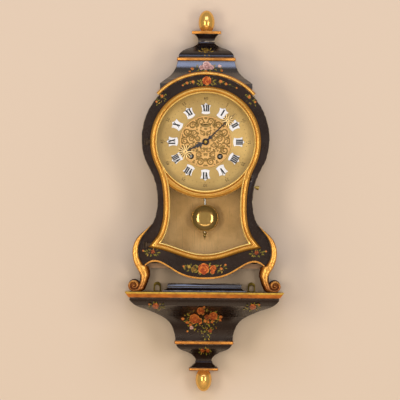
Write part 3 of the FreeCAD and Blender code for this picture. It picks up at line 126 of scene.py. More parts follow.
def cleaned(piece, fill=False):
    openMesh(piece)
    bpy.ops.mesh.remove_doubles(threshold=weld)
    if fill:
        bpy.ops.mesh.fill_holes(sides=0)
    bpy.ops.mesh.normals_make_consistent(inside=False)
    closeMesh()
    return piece


def addModifier(piece, kind, **settings):
    chosen(piece)
    bpy.ops.object.modifier_add(type=kind)
    modifier = piece.modifiers[-1]
    for key, value in settings.items():
        setattr(modifier, key, value)
    bpy.ops.object.modifier_apply(modifier=modifier.name)


def softEdges(piece, width, segments, angle, worn):
    # worn is the material slot that the rounded edges take, or -1; on the lacquer it is rubbed
    # wear, on the gilt strips painted shade
    addModifier(piece, "BEVEL", width=width * mm, segments=segments, limit_method="ANGLE",
                angle_limit=math.radians(angle), material=worn, use_clamp_overlap=True)


def joined(name, pieces):
    bpy.ops.object.select_all(action="DESELECT")
    for piece in pieces:
        piece.select_set(True)
    bpy.context.view_layer.objects.active = pieces[0]
    if len(pieces) > 1:
        bpy.ops.object.join()
    return named(name)


def copied(piece, name, matrix):
    chosen(piece)
    bpy.ops.object.duplicate()
    twin = named(name)
    twin.data.transform(matrix)
    if matrix.determinant() < 0:
        twin.data.flip_normals()
    return twin


def fitted(piece, body, slotName, finishes, *stands, angle=40):
    # smooth shading, finishes that are still missing, and the frame's bookkeeping
    chosen(piece)
    bpy.ops.object.transform_apply(location=True, rotation=True, scale=True)
    bpy.ops.object.shade_smooth_by_angle(angle=math.radians(angle))
    painted(piece, *finishes[len(piece.data.materials):])
    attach(piece, body)
    if stands:
        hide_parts(*stands)


def softened(nodeName, name, width, segments, finishes, worn=-1):
    # the node's own shape with rounded edges
    piece = placed(name, nodes[nodeName].data.copy())
    piece.data.materials.clear()
    painted(piece, *finishes)
    openMesh(piece)
    bpy.ops.mesh.customdata_custom_splitnormals_clear()
    bpy.ops.mesh.remove_doubles(threshold=weld)
    bpy.ops.mesh.dissolve_limited(angle_limit=math.radians(0.5))
    bpy.ops.mesh.normals_make_consistent(inside=False)
    closeMesh()
    softEdges(piece, width, segments, angle=40, worn=worn)
    return named(name)


def outlinesAt(nodeName, depth):
    # closed edges of the node's flat face at this depth, widest first
    shape = bmesh.new()
    shape.from_mesh(nodes[nodeName].data)
    bmesh.ops.remove_doubles(shape, verts=shape.verts, dist=weld)
    flat = {face for face in shape.faces
            if all(abs(v.co.y + depth * mm) < 2e-5 for v in face.verts)}
    follow = {}
    for edge in shape.edges:
        if sum(face in flat for face in edge.link_faces) == 1:
            a, b = edge.verts
            follow.setdefault(a, []).append(b)
            follow.setdefault(b, []).append(a)
    loops, left = [], dict.fromkeys(follow)
    while left:
        onward, loop = [next(iter(left))], []
        while onward:
            loop.append(onward[0])
            del left[onward[0]]
            onward = [v for v in follow[loop[-1]] if v in left]
        loops.append([Vector((v.co.x / mm, v.co.z / mm + hookRise)) for v in loop])
    shape.free()
    return sorted(loops, key=lambda loop: min(p.x for p in loop) - max(p.x for p in loop))


def evenPoints(points, spacing, clear):
    # corners stay and the runs between them are divided evenly, none nearer to a corner than clear
    sharp = 0.45  # radians of turn that make a corner
    count = len(points)
    corners = [i for i in range(count) if (points[i] - points[i - 1]).angle(
        points[(i + 1) % count] - points[i], 0) > sharp]
    out = []
    for here, there in zip(corners, corners[1:] + [corners[0] + count]):
        run = [points[i % count] for i in range(here, there + 1)]
        lengths = [0]
        for a, b in zip(run, run[1:]):
            lengths.append(lengths[-1] + (b - a).length)
        room = lengths[-1] - 2 * clear
        steps = max(1, round(room / spacing))
        out.append(run[0])
        for k in range(steps + 1):
            mark = clear + room * k / steps
            i = max(j for j in range(len(run)) if lengths[j] <= mark + 1e-9)
            i = min(i, len(run) - 2)
            share = (mark - lengths[i]) / max(1e-9, lengths[i + 1] - lengths[i])
            out.append(run[i].lerp(run[i + 1], share))
    return out


def facePiece(name, points, depth, backward=False):
    bpy.ops.mesh.primitive_circle_add(vertices=len(points), radius=1, fill_type="NGON")
    piece = named(name)
    for vertex, point in zip(piece.data.vertices, points):
        vertex.co = spot(point[0], depth, point[1])
    piece.data.update()
    if (piece.data.polygons[0].normal.y > 0) != backward:
        piece.data.flip_normals()
    return piece


def stepIn(piece, profile):
    # insets the face along (inset, depth) pairs and leaves the last face chosen
    openMesh(piece)
    for (inset, depth), (nextInset, nextDepth) in zip(profile, profile[1:]):
        bpy.ops.mesh.inset(thickness=(nextInset - inset) * mm, depth=(nextDepth - depth) * mm,
                           use_even_offset=True)


def skirt(piece, depth):
    openMesh(piece, "EDGE")
    pickEdges(piece, lambda edge: edge.is_boundary)
    bpy.ops.mesh.extrude_region_move()
    moveChosen(piece, lambda co: Vector((co.x, -depth * mm, co.z)))
    closeMesh()


def gridPiece(name, across, along, place):
    # a sheet whose corners lie at place(u, v), closed where its edges meet and at its ends
    bpy.ops.mesh.primitive_grid_add(x_subdivisions=across, y_subdivisions=along, size=1)
    piece = named(name)
    for vertex in piece.data.vertices:
        vertex.co = place(vertex.co.x + 0.5, vertex.co.y + 0.5)
    return cleaned(piece, True)


def ringOf(name, points):
    bpy.ops.mesh.primitive_circle_add(vertices=len(points), radius=1, fill_type="NOTHING")
    piece = named(name)
    for vertex, point in zip(piece.data.vertices, points):
        vertex.co = point
    openMesh(piece, "EDGE")
    return piece


def turned(name, profile, steps=72):
    # profile: (radius, along) pairs in mm, spun about the upright axis
    piece = ringOf(name, [Vector((radius, 0, along)) * mm for radius, along in profile])
    pickEdges(piece, lambda edge: all(abs(v.co.x) < 1e-7 for v in edge.verts))
    bpy.ops.mesh.delete(type="EDGE")
    bpy.ops.mesh.select_all(action="SELECT")
    bpy.ops.mesh.spin(steps=steps, angle=2 * math.pi, center=(0, 0, 0), axis=(0, 0, 1))
    closeMesh()
    return cleaned(piece)


towardViewer = Matrix.Rotation(math.pi / 2, 4, "X")


def facingForward(x, depth, height):
    # carries a piece turned about the upright axis to one that points at the viewer
    return Matrix.Translation(spot(x, depth, height)) @ towardViewer


def smoothPath(points, count):
    # even steps along a curve through points of any length
    out = []
    spans = len(points) - 1
    for k in range(count):
        t = k * spans / (count - 1)
        i = min(int(t), spans - 1)
        t -= i
        a, b, c, d = (points[min(max(j, 0), spans)] for j in (i - 1, i, i + 1, i + 2))
        out.append(tuple(0.5 * (2 * q + (r - p) * t + (2 * p - 5 * q + 4 * r - w) * t * t
                                + (3 * q - p - 3 * r + w) * t ** 3)
                         for p, q, r, w in zip(a, b, c, d)))
    return out


def lookUp(table, value):
    # straight-line reading of a sorted table of (key, result)
    if value <= table[0][0]:
        return table[0][1]
    for (a, x), (b, y) in zip(table, table[1:]):
        if value <= b:
            return x + (y - x) * (value - a) / max(1e-9, b - a)
    return table[-1][1]


# finishes
def rgb(code):
    # sRGB hex to the linear colour a shader takes
    parts = [int(code[i:i + 2], 16) / 255 for i in (0, 2, 4)]
    return tuple(p / 12.92 if p <= 0.04045 else ((p + 0.055) / 1.055) ** 2.4
                 for p in parts) + (1,)


def feed(tree, target, feeds):
    # links the sockets among the feeds and sets the plain values
    for key, value in feeds.items():
        if isinstance(value, bpy.types.NodeSocket):
            tree.links.new(value, target.inputs[key])
        else:
            target.inputs[key].default_value = value


def node(tree, kind, feeds, **settings):
    made = tree.nodes.new("ShaderNode" + kind)
    for key, value in settings.items():
        setattr(made, key, value)
    feed(tree, made, feeds)
    return made


def mixColor(tree, share, first, second, blend="MIX"):
    return node(tree, "Mix", {0: share, 6: first, 7: second},
                data_type="RGBA", blend_type=blend).outputs[2]


def mapRange(tree, value, low=0, high=1, toLow=0, toHigh=1):
    return node(tree, "MapRange", {
        "Value": value, "From Min": low, "From Max": high, "To Min": toLow,
        "To Max": toHigh}).outputs["Result"]


def objectPlace(tree):
    return node(tree, "TexCoord", {}).outputs["Object"]


def objectAxis(tree, axis):
    return node(tree, "SeparateXYZ", {0: objectPlace(tree)}).outputs[axis]


def rampOf(tree, value, stops, ease="LINEAR"):
    made = node(tree, "ValToRGB", {0: value})
    elements = made.color_ramp.elements
    made.color_ramp.interpolation = ease
    while len(elements) < len(stops):
        elements.new(0.5)
    for element, (share, tone) in zip(elements, stops):
        element.position = share
        element.color = tone
    return made.outputs["Color"]


def newGroup(name, inputs, output):
    group = bpy.data.node_groups.new(name, "ShaderNodeTree")
    for label, kind in inputs:
        group.interface.new_socket(label, in_out="INPUT", socket_type="NodeSocket" + kind)
    group.interface.new_socket(output, in_out="OUTPUT", socket_type=(
        "NodeSocketColor" if output == "Color" else "NodeSocketFloat"))
    return group, group.nodes.new("NodeGroupInput").outputs, group.nodes.new("NodeGroupOutput")


# one tone that wears to another in patches
wornTone, entry, leave = newGroup("wornTone", (
    ("Tone", "Color"), ("Worn", "Color"), ("Scale", "Float"), ("Amount", "Float")), "Color")
noise = node(wornTone, "TexNoise", {"Vector": objectPlace(wornTone), "Scale": entry["Scale"],
                                    "Detail": 7, "Roughness": 0.64})
patches = mapRange(wornTone, noise.outputs["Fac"], 0.42, 0.7)
share = node(wornTone, "Math", {0: patches, 1: entry["Amount"]}, operation="MULTIPLY")
feed(wornTone, leave, {
    "Color": mixColor(wornTone, share.outputs[0], entry["Tone"], entry["Worn"])})

# stretched noise, for brushed metal, grain and the bumps of a hand-made surface
brushLines, entry, leave = newGroup("brushLines", (
    ("Stretch", "Vector"), ("Low", "Float"), ("High", "Float")), "Value")
stretch = node(brushLines, "VectorMath", {0: objectPlace(brushLines), 1: entry["Stretch"]},
               operation="MULTIPLY")
noise = node(brushLines, "TexNoise", {"Vector": stretch.outputs[0], "Scale": 1, "Detail": 4})
feed(brushLines, leave, {"Value": mapRange(
    brushLines, noise.outputs["Fac"], 0.3, 0.7, entry["Low"], entry["High"])})


def wornColor(tree, tone, worn, scale, amount):
    return node(tree, "Group", {"Tone": rgb(tone), "Worn": rgb(worn), "Scale": scale,
                                "Amount": amount}, node_tree=wornTone).outputs["Color"]


def linesOf(tree, stretch, low, high):
    return node(tree, "Group", {"Stretch": stretch, "Low": low, "High": high},
                node_tree=brushLines).outputs["Value"]


def surface(name, tone, worn, amount, scale, metallic, rough, grain, grainDepth,
            coat=0.0, stretch=None, gloss=0.5):
    # a worn two-tone surface: rough is (low, high) and grain the number of bumps to a metre
    finish = bpy.data.materials.new(name)
    finish.use_nodes = True
    tree = finish.node_tree
    shader = tree.nodes["Principled BSDF"]
    color = wornColor(tree, tone, worn, scale, amount)
    lines = linesOf(tree, stretch or (grain, grain, grain), *rough)
    bump = node(tree, "Bump", {"Strength": 0.6, "Distance": grainDepth, "Height": lines})
    feed(tree, shader, {
        "Base Color": color, "Roughness": lines, "Normal": bump.outputs["Normal"],
        "Metallic": metallic, "Coat Weight": coat, "Coat Roughness": 0.12,
        "Specular IOR Level": gloss})
    return finish, tree, shader, color, bump


def finishOf(*values, **more):
    return surface(*values, **more)[0]


lacquer = finishOf("lacquer", "1a0e08", "27170e", 0.6, 14, 0.0, (0.2, 0.3), 45, 0.0002)
sheenLacquer = finishOf("sheenLacquer", "1a0e08", "27170e", 0.6, 14, 0.0, (0.2, 0.3), 45, 0.0002,
                        coat=0.7, gloss=1.0)
softLacquer = finishOf("softLacquer", "21140c", "2f1d12", 0.6, 14, 0.0, (0.22, 0.32), 45, 0.0002,
                       gloss=0.34)
rubbedEdge = finishOf("rubbedEdge", "33231a", "d6c4a2", 0.9, 120, 0.0, (0.3, 0.5), 300, 0.0004)
giltWood = finishOf("giltWood", "d8923a", "9c5c1e", 0.8, 70, 0.6, (0.24, 0.4), 420, 0.0004)
# darker gilt on the rounded edges of the gilt strips: painted shade
paintedShadeGilt = finishOf("paintedShadeGilt", "96581c", "643610", 0.8, 90, 0.5, (0.3, 0.44), 420, 0.0004)
giltBead = finishOf("giltBead", "df9c44", "b46e28", 0.7, 70, 0.55, (0.22, 0.36), 420, 0.0003)
polishedGilt = finishOf("polishedGilt", "ecba60", "d8a44c", 0.4, 24, 0.72, (0.14, 0.19), 90,
                        0.00004)
brass = finishOf("brass", "c9a95a", "94763a", 0.6, 60, 0.9, (0.24, 0.4), 300, 0.0003)
oldBrass = finishOf("oldBrass", "8d7732", "54461e", 0.8, 90, 0.8, (0.35, 0.5), 350, 0.0005)
bobBrass = finishOf("bobBrass", "dab468", "bd9650", 0.3, 40, 0.72, (0.1, 0.15), 160, 0.0001)
sheetBrass = finishOf("sheetBrass", "f2c682", "c89a54", 0.8, 22, 0.3, (0.26, 0.4), 0, 0.0003,
                      stretch=(1500, 1500, 28))
enamel = finishOf("enamel", "faf9f5", "eceae2", 0.3, 60, 0.0, (0.1, 0.2), 130, 0.0001, coat=0.4)
# black of the numerals, and painted shade for the winding holes
inkBlackAndHoleShade = finishOf("inkBlackAndHoleShade", "14130f", "2a2722", 0.5, 300, 0.0, (0.3, 0.45), 500, 0.0002)
bluedSteel = finishOf("bluedSteel", "3b3a3d", "57554f", 0.5, 120, 0.4, (0.24, 0.36), 300, 0.0002)
handGold = finishOf("handGold", "fdd98e", "f4c26c", 0.4, 220, 0.2, (0.2, 0.34), 500, 0.0002)
steel = finishOf("steel", "c4c3bd", "8f8d87", 0.5, 80, 0.95, (0.2, 0.32), 0, 0.0002,
                 stretch=(900, 900, 60))
bellMetal = finishOf("bellMetal", "a89868", "70623c", 0.5, 40, 0.95, (0.2, 0.34), 0, 0.0002,
                     stretch=(60, 60, 900))
chasedGround = finishOf("chasedGround", "ecbd74", "d29e56", 0.6, 160, 0.4, (0.34, 0.5), 700, 0.0002)
chasedGilt = finishOf("chasedGilt", "9c7e40", "745a28", 0.6, 150, 0.5, (0.26, 0.4), 700, 0.0002)
darkBronze = finishOf("darkBronze", "2c1f12", "5a4220", 0.6, 180, 0.5, (0.34, 0.5), 400, 0.0003)
darkPlate = finishOf("darkPlate", "4a3c1e", "2a2212", 0.7, 120, 0.5, (0.4, 0.55), 300, 0.0003)
# dark engraving of the minute track, and the dark rays in the gaps of the hand stars as painted
# shade
engravingAndRayShade = finishOf("engravingAndRayShade", "4c3a1a", "6e5830", 0.5, 200, 0.5, (0.45, 0.6), 600, 0.0002)


def woodOf(name, tone, dark, along):
    # board with the grain running along x, y or z
    stretch = tuple(9 if axis == along else 240 for axis in "xyz")
    finish, tree, shader, color, bump = surface(
        name, tone, dark, 0.5, 18, 0.0, (0.42, 0.62), 0, 0.0006, stretch=stretch)
    grain = linesOf(tree, tuple(0.7 * part for part in stretch), 0.0, 0.75)
    feed(tree, shader, {"Base Color": mixColor(tree, grain, color, rgb(dark))})
    return finish


brownWood = woodOf("brownWood", "6a472a", "2e1c0e", "x")
boardWood = woodOf("boardWood", "7d5836", "39250f", "z")
underWood = woodOf("underWood", "94724f", "5a402a", "x")

# satin dial plate: fine rings about the centre, and light and dark sectors painted into the colour,
# a painted sheen of the kind a turned face shows in light
dialBrass, tree, shader, color, bump = surface(
    "dialBrass", "dcba70", "bc9856", 0.7, 20, 0.5, (0.36, 0.5), 500, 0.00006)
paintedSheenStops = ((0.0, 0.74), (0.13, 0.9), (0.25, 0.74), (0.38, 0.8), (0.5, 0.7), (0.62, 0.8),
              (0.75, 1.0), (0.88, 0.8), (1.0, 0.74))
shift = node(tree, "VectorMath", {0: objectPlace(tree), 1: spot(0, dialFace, dialHeight)},
             operation="SUBTRACT").outputs[0]
reach = node(tree, "VectorMath", {0: shift}, operation="LENGTH").outputs["Value"]
rings = node(tree, "TexNoise", {"W": reach, "Scale": 2600}, noise_dimensions="1D").outputs["Fac"]
apart = node(tree, "SeparateXYZ", {0: shift}).outputs
bearing = node(tree, "Math", {0: apart["X"], 1: apart["Z"]}, operation="ARCTAN2").outputs[0]
paintedSheen = rampOf(tree, mapRange(tree, bearing, -math.pi, math.pi),
               [(share, (level, level, level, 1)) for share, level in paintedSheenStops], "EASE")
feed(tree, bump, {"Height": rings})
feed(tree, shader, {"Roughness": mapRange(tree, rings, toLow=0.36, toHigh=0.52),
                    "Base Color": mixColor(tree, 1, paintedSheen, color, "MULTIPLY")})


def reliefGilt(name, low, high, stops, rough, wear=0.7):
    # gilding toned by depth: darker in the hollows and on the low edges, partly patina and partly
    # painted shade, and brightest on the crests as a painted highlight; stops are (share of the
    # depth from low to high, tone)
    finish, tree, shader, color, bump = surface(
        name, "ffffff", "cfae84", wear, 60, 0.5, rough, 420, 0.0003)
    level = mapRange(tree, objectAxis(tree, "Y"), -low * mm, -high * mm)
    ramp = rampOf(tree, level, [(share, rgb(tone)) for share, tone in stops])
    gilt = mixColor(tree, 1, ramp, color, "MULTIPLY")
    feed(tree, shader, {"Base Color": gilt})
    return finish, tree, shader, gilt, bump


# door and arch: the bright bead and crests are painted highlight, the low edges and grooves painted
# shade
doorGilt = reliefGilt("doorGilt", 117.0, 126.5, (
    (0.0, "94601e"), (0.3, "b27a2a"), (0.42, "c08c36"), (0.54, "d09c42"), (0.64, "d8a64a"),
    (0.85, "f2c05e"), (1.0, "fcd67a")), (0.18, 0.3), 0.4)[0]
archGilt = reliefGilt("archGilt", 114.5, 118.5, (
    (0.0, "8a4c16"), (0.35, "bd7628"), (0.75, "e2a042"), (1.0, "f4c260")), (0.2, 0.32))[0]

# carved gilding on the feet: slanting cuts down the leg, flanks and hollows darker by depth as
# painted shade, and brown towards the ground
carvedGilt, tree, shader, gilt, bump = reliefGilt("carvedGilt", 118.5, 125.7, (
    (0.0, "5a2a0c"), (0.45, "965418"), (0.75, "ca8632"), (1.0, "e8ac4c")), (0.2, 0.34), 0.5)
cuts = node(tree, "TexWave", {"Vector": objectPlace(tree), "Scale": 70, "Distortion": 0.6},
            wave_type="BANDS", bands_direction="DIAGONAL")
carve = node(tree, "Bump", {"Strength": 0.3, "Distance": 0.0005, "Height": cuts.outputs["Fac"],
                            "Normal": bump.outputs["Normal"]})
low = mapRange(tree, objectAxis(tree, "Z"), (8 - hookRise) * mm, (34 - hookRise) * mm, 0.85, 0.0)
feed(tree, shader, {"Base Color": mixColor(tree, low, gilt, rgb("8e5e30"), "MULTIPLY"),
                    "Normal": carve.outputs["Normal"]})

# shelf edge: a bright lip over a red-brown undercut face; the lip is lighter as a painted highlight
# and the undercut face darker as painted shade
shelfGilt, tree, shader, color, bump = surface(
    "shelfGilt", "e9bf4c", "8f5a1e", 0.8, 110, 0.45, (0.3, 0.45), 420, 0.0005)
paintedShadeUnderside = wornColor(tree, "e4862f", "9c5420", 70, 0.8)
level = mapRange(tree, objectAxis(tree, "Z"), (-3.4 - hookRise) * mm, (-2.6 - hookRise) * mm)
feed(tree, shader, {"Base Color": mixColor(tree, level, paintedShadeUnderside, color)})

# painted flowers take their tone from the brush strokes
paint, tree, shader, color, bump = surface(
    "paint", "ffffff", "b8a894", 0.5, 300, 0.0, (0.3, 0.45), 600, 0.0001, gloss=0.25)
stroke = node(tree, "Attribute", {}, attribute_name="stroke").outputs["Color"]
feed(tree, shader, {"Base Color": mixColor(tree, 1, stroke, color, "MULTIPLY")})

glass = bpy.data.materials.new("glass")
glass.use_nodes = True
tree = glass.node_tree
edge = node(tree, "Fresnel", {"IOR": 1.4}).outputs[0]
feed(tree, tree.nodes["Principled BSDF"], {
    "Base Color": rgb("101412"), "Roughness": 0.03,
    "Alpha": mapRange(tree, edge, toLow=0.012, toHigh=0.4)})
print("finishes:", len(bpy.data.materials))


# lacquered tiers of the bracket and the hood
tiers = {"edge": 0.5, "spacing": 0.5, "corner": 0.12, "bracketBack": 0, "hoodBack": 6}


def ringStack(name, rings, ground, edge):
    # rings: (half width, back, front, height) from one end to the other
    bpy.ops.mesh.primitive_plane_add(size=1)
    piece = named(name)
    openMesh(piece)
    middle = 0
    for number, (half, back, front, height) in enumerate(rings):
        if number:
            bpy.ops.mesh.extrude_region_move()
        moveChosen(piece, lambda co: spot(half if co.x > 0 else -half,
                                          front if co.y < middle else back, height))
        middle = -(back + front) / 2 * mm
    closeMesh()
    painted(cleaned(piece), ground, rubbedEdge)
    softEdges(piece, edge, segments=1, angle=50, worn=1)
    return piece


def cornerProfile(nodeName):
    # (height, half width) up the front corner of a tier
    rows = {}
    for vertex in nodes[nodeName].data.vertices:
        x, y, z = vertex.co / mm
        if x > 0 and abs(-y - finialAxis - x) < tiers["corner"]:
            rows[round(z + hookRise, 2)] = x
    return sorted(rows.items())


def tier(name, nodeName, back, ground):
    rings, last = [], -999
    profile = cornerProfile(nodeName)
    for height, half in profile:
        if height - last > tiers["spacing"] or height == profile[-1][0]:
            rings.append((half, back, finialAxis + half, height))
            last = height
    return ringStack(name, rings, ground, tiers["edge"])


for name, nodeName, body, back, ground in (
        ("bracketBody", "bracket_body", "bracket", tiers["bracketBack"], softLacquer),
        ("bracketBell", "bracket_bell", "bracket", tiers["bracketBack"], softLacquer),
        ("hoodBell", "hood_bell", "case", tiers["hoodBack"], lacquer)):
    fitted(tier(name, nodeName, back, ground), body, "black_lacquer", (), nodeName)

# the round head of the case, which the hood sits on
head = {"height": 258.0, "radius": 107.95, "middle": 60, "cutLength": 0.4, "sides": 320}
hoodLower = tier("hoodLower", "hood_lower", tiers["hoodBack"], sheenLacquer)
bpy.ops.mesh.primitive_cylinder_add(
    vertices=head["sides"], radius=head["radius"] * mm, depth=head["cutLength"],
    location=spot(0, head["middle"], head["height"]), rotation=(math.pi / 2, 0, 0))
cutter = named("headCutter")
addModifier(hoodLower, "BOOLEAN", object=cutter, operation="DIFFERENCE", solver="EXACT")
bpy.data.objects.remove(cutter)
fitted(hoodLower, "case", "black_lacquer", (), "hood_lower")

plinth = {"back": 24, "edge": 0.4, "rows": (  # half width, front and height
    (70.4, 112, 0), (70.4, 112, 2.2), (69.4, 111.0, 2.6), (67.0, 108.6, 3.3), (64.6, 106.2, 4.8),
    (63.2, 104.8, 6.4), (62.7, 104.3, 7.4), (62.9, 104.4, 7.9), (62.1, 103.6, 13.2),
    (61.5, 103.0, 14.0))}
plinthRings = [(half, plinth["back"], front, height) for half, front, height in plinth["rows"]]
fitted(ringStack("shelfPlinth", plinthRings, sheenLacquer, plinth["edge"]),
       "bracket", "black_lacquer", (), "shelf_plinth")
print("tiers built")

# gilt strips and edges, and the hanging eyes; the rounded edges of the strips take a darker gilt as
# painted shade
strips = (giltWood, paintedShadeGilt)
for nodeName, name, body, slotName, width, segments, finishes, worn in (
        ("bracket_strip", "bracketStrip", "bracket", "gilt_wood", 1.1, 3, strips, 1),
        ("bracket_plate", "bracketPlate", "bracket", "gilt_wood", 1.1, 3, strips, 1),
        ("hood_strip", "hoodStrip", "case", "gilt_wood", 1.1, 3, strips, 1),
        ("hood_cap", "hoodCap", "case", "gilt_wood", 1.1, 3, strips, 1),
        ("apron_moulding", "apronBead", "case", "gilt_wood", 1.2, 3, (giltBead,), -1),
        ("shelf_moulding", "shelfEdge", "bracket", "gilt_wood", 0.9, 3, (shelfGilt,), -1),
        ("hanging_eyes", "hangingEyes", "bracket", "brass", 0.35, 2, (oldBrass,), -1)):
    piece = softened(nodeName, name, width, segments, finishes, worn)
    fitted(piece, body, slotName, (), nodeName)

egg = {"radius": 13.7, "point": 20.5, "round": 19.0, "seat": 52, "steps": 40, "turns": 96}
collar = [(0, -0.2), (9.1, -0.2), (9.5, 0.25), (9.3, 0.8), (8.6, 1.1), (0, 1.1)]


def eggProfile():
    rows = [(0, 0.0)]
    base = egg["round"] * math.sin(math.radians(egg["seat"]))
    for k in range(egg["steps"] + 1):
        turn = math.radians(-egg["seat"] + (90 + egg["seat"]) * k / egg["steps"])
        lift = (egg["round"] if turn < 0 else egg["point"]) * math.sin(turn)
        width = max(0.0, egg["radius"] * math.cos(turn)) if k < egg["steps"] else 0
        rows.append((width, base + lift))
    return rows


topSeat = Matrix.Translation((0, -finialAxis * mm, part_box("hood_cap")[1][2]))
dropSeat = Matrix.Translation((0, -finialAxis * mm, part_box("bracket_plate")[0][2]))
for name, nodeName, body, matrix in (
        ("topFinial", "top_finial", "case", topSeat),
        ("dropFinial", "drop_finial", "bracket", dropSeat @ Matrix.Rotation(math.pi, 4, "X"))):
    finial = joined(name, [turned(name, eggProfile(), egg["turns"]),
                           turned(name + "Collar", collar, egg["turns"])])
    finial.data.transform(matrix)
    fitted(finial, body, "polished_gilt", (polishedGilt,), nodeName)

arch = {"span": 95, "steps": 110, "rows": (  # radius and depth
    (107.95, 109.4), (107.95, 115.8), (108.4, 117.2), (109.3, 118.1), (110.4, 118.45),
    (111.5, 118.1), (112.2, 117.3), (112.4, 116.6), (112.9, 116.4), (113.35, 115.8),
    (113.35, 109.4))}
lean = math.radians(-arch["span"] / 2)
archBand = ringOf("archMoulding", [
    spot(radius * math.sin(lean), depth, head["height"] + radius * math.cos(lean))
    for radius, depth in arch["rows"]])
bpy.ops.mesh.spin(steps=arch["steps"], angle=-math.radians(arch["span"]),
                  center=spot(0, 0, head["height"]), axis=(0, 1, 0))
closeMesh()
fitted(cleaned(archBand, True), "case", "gilt_wood", (archGilt,), "arch_moulding")
print("gilt edges built")

caseFront = softened("case_front", "caseFront", 0.75, 1, (softLacquer, rubbedEdge), 1)
fitted(caseFront, "case", "black_lacquer", (), "case_front")

# scroll feet: a ridged strip down the bulge that curls into a volute
foot = {"back": 104.4, "front": 125.7, "centre": (118.5, 10.3), "core": 9.0, "coreFront": 122.6,
        "ankle": 27.0, "legSteps": 44, "curlSteps": 80}
footLoop = outlinesAt("foot_front_right", 126)[0]


def widthAt(loop, height):
    crossings = []
    for a, b in zip(loop, loop[1:] + loop[:1]):
        if (a.y - height) * (b.y - height) < 0:
            crossings.append(a.x + (b.x - a.x) * (height - a.y) / (b.y - a.y))
    return min(crossings), max(crossings)


# the ankle widens towards the middle, and flank is the share of the width that slopes inwards
innerMove = ((27, 8.6), (34, 7.4), (41, 5.2), (48, 2.6), (60, 0.3), (70, 0))
outerMove = ((27, 2.2), (34, 1.2), (41, 0), (70, 0))
flankShare = ((20, 0.3), (41, 0.3), (60, 0.03))
topHeight = max(p.y for p in footLoop) - 0.3
stations = []
for k in range(foot["legSteps"] + 1):
    height = topHeight + (foot["ankle"] - topHeight) * k / foot["legSteps"]
    inner, outer = widthAt(footLoop, height)
    stations.append((inner - lookUp(innerMove, height), height, outer - lookUp(outerMove, height),
                     height, lookUp(flankShare, height)))
stations += [(93.2, 22.0, 106.8, 23.0, 0.3), (95.2, 15.0, 107.4, 17.5, 0.3)]
spiral = ((188, 20.2, 7.6), (205, 18.6, 7.4), (225, 13.7, 7.2), (250, 10.3, 7.0), (270, 9.8, 6.8),
          (315, 9.9, 6.6), (360, 9.9, 6.3), (405, 9.6, 5.9), (450, 9.0, 5.3), (495, 8.1, 4.7),
          (540, 7.0, 4.0), (585, 5.9, 3.3), (630, 4.9, 2.7), (675, 4.0, 2.1), (720, 3.2, 1.6))
centreX, centreZ = foot["centre"]
for angle, away, near in smoothPath(spiral, foot["curlSteps"]):
    across, up = math.cos(math.radians(angle)), math.sin(math.radians(angle))
    stations.append((centreX + away * across, max(0.5, centreZ + away * up),
                     centreX + near * across, centreZ + near * up,
                     max(0.0, 0.3 * (250 - angle) / 62)))
# share of the width and drop from the front, or None for the back
section = ((0.0, None), (0.0, 3.2), (0.5, 1.8), (1.0, 1.4), (0.12, 0.7), (0.3, 0.15), (0.5, 0.0),
           (0.7, 0.15), (0.88, 0.7), (0.95, 1.4), (1.0, 3.2), (1.0, None), (0.0, None))


def footPlace(u, v):
    innerX, innerZ, outerX, outerZ, flank = stations[round(v * (len(stations) - 1))]
    place = round(u * (len(section) - 1))
    across, drop = section[place]
    if place in (1, 2, 3):
        across, drop = flank * across, drop + flank * 20 * (1 - across)
    elif 3 < place < 12:
        across = flank + (1 - flank) * across
    width = math.hypot(outerX - innerX, outerZ - innerZ)
    depth = foot["back"] if drop is None else foot["front"] - drop * min(1.0, width / 8)
    return spot(innerX + (outerX - innerX) * across, depth,
                innerZ + (outerZ - innerZ) * across)


ribbon = gridPiece("footRibbon", len(section) - 1, len(stations) - 1, footPlace)
core = turned("footCore", [(0, 0), (foot["core"], 0), (9.3, 0.5), (9.3, 18.0), (0, 18.0)])
boss = turned("footBoss", [(0, -1.0), (2.7, -1.0), (2.7, 0.6), (2.4, 1.6), (1.7, 2.4), (0.8, 2.8),
                           (0, 2.9)], 36)
curl = facingForward(centreX, foot["coreFront"], centreZ)
core.data.transform(curl @ Matrix.Rotation(math.pi, 4, "X"))
boss.data.transform(curl)
rightFoot = joined("footFrontRight", [ribbon, core, boss])
leftFoot = copied(rightFoot, "footFrontLeft", Matrix.Scale(-1, 4, (1, 0, 0)))
fitted(rightFoot, "case", "gilt_wood", (carvedGilt,), "foot_front_right", angle=50)
fitted(leftFoot, "case", "gilt_wood", (carvedGilt,), "foot_front_left", angle=50)
print("feet built")

# door frame: an ogee band with an inner bead, bright with a painted highlight, and its cross bar
door = {"outline": 115.3, "spacing": 2.2, "clear": 24, "back": 115.35, "rebate": 118.15,
        "width": 11.55, "rebateAt": 5.9, "rows": (
    (0, 117.4), (0.3, 118.6), (0.9, 119.4), (1.6, 120.3), (2.6, 121.2), (3.8, 121.9),
    (5.0, 122.2), (6.2, 122.1), (7.1, 121.6), (7.6, 121.2), (7.9, 121.4), (8.2, 123.0),
    (8.7, 124.8), (9.3, 125.9), (10.0, 126.4), (10.7, 126.2), (11.2, 125.7), (11.55, 124.9))}
rebate = door["back"] - door["rebate"]
doorLoop = outlinesAt("door_frame", door["outline"])[0]
doorEdge = evenPoints(doorLoop, door["spacing"], door["clear"])
rim = {(round(p.x, 1), round(p.y, 1)) for p in doorEdge}
bands = []
for name, depth, backward, rows in (
        ("doorBand", door["rows"][0][1], False, door["rows"]),
        ("doorBandBack", door["back"], True, (
            (0, 0), (door["rebateAt"], 0), (door["rebateAt"] + 0.1, rebate),
            (door["width"], rebate)))):
    bands.append(facePiece(name, doorEdge, depth, backward))
    stepIn(bands[-1], rows)
    bpy.ops.mesh.delete(type="FACE")
    closeMesh()
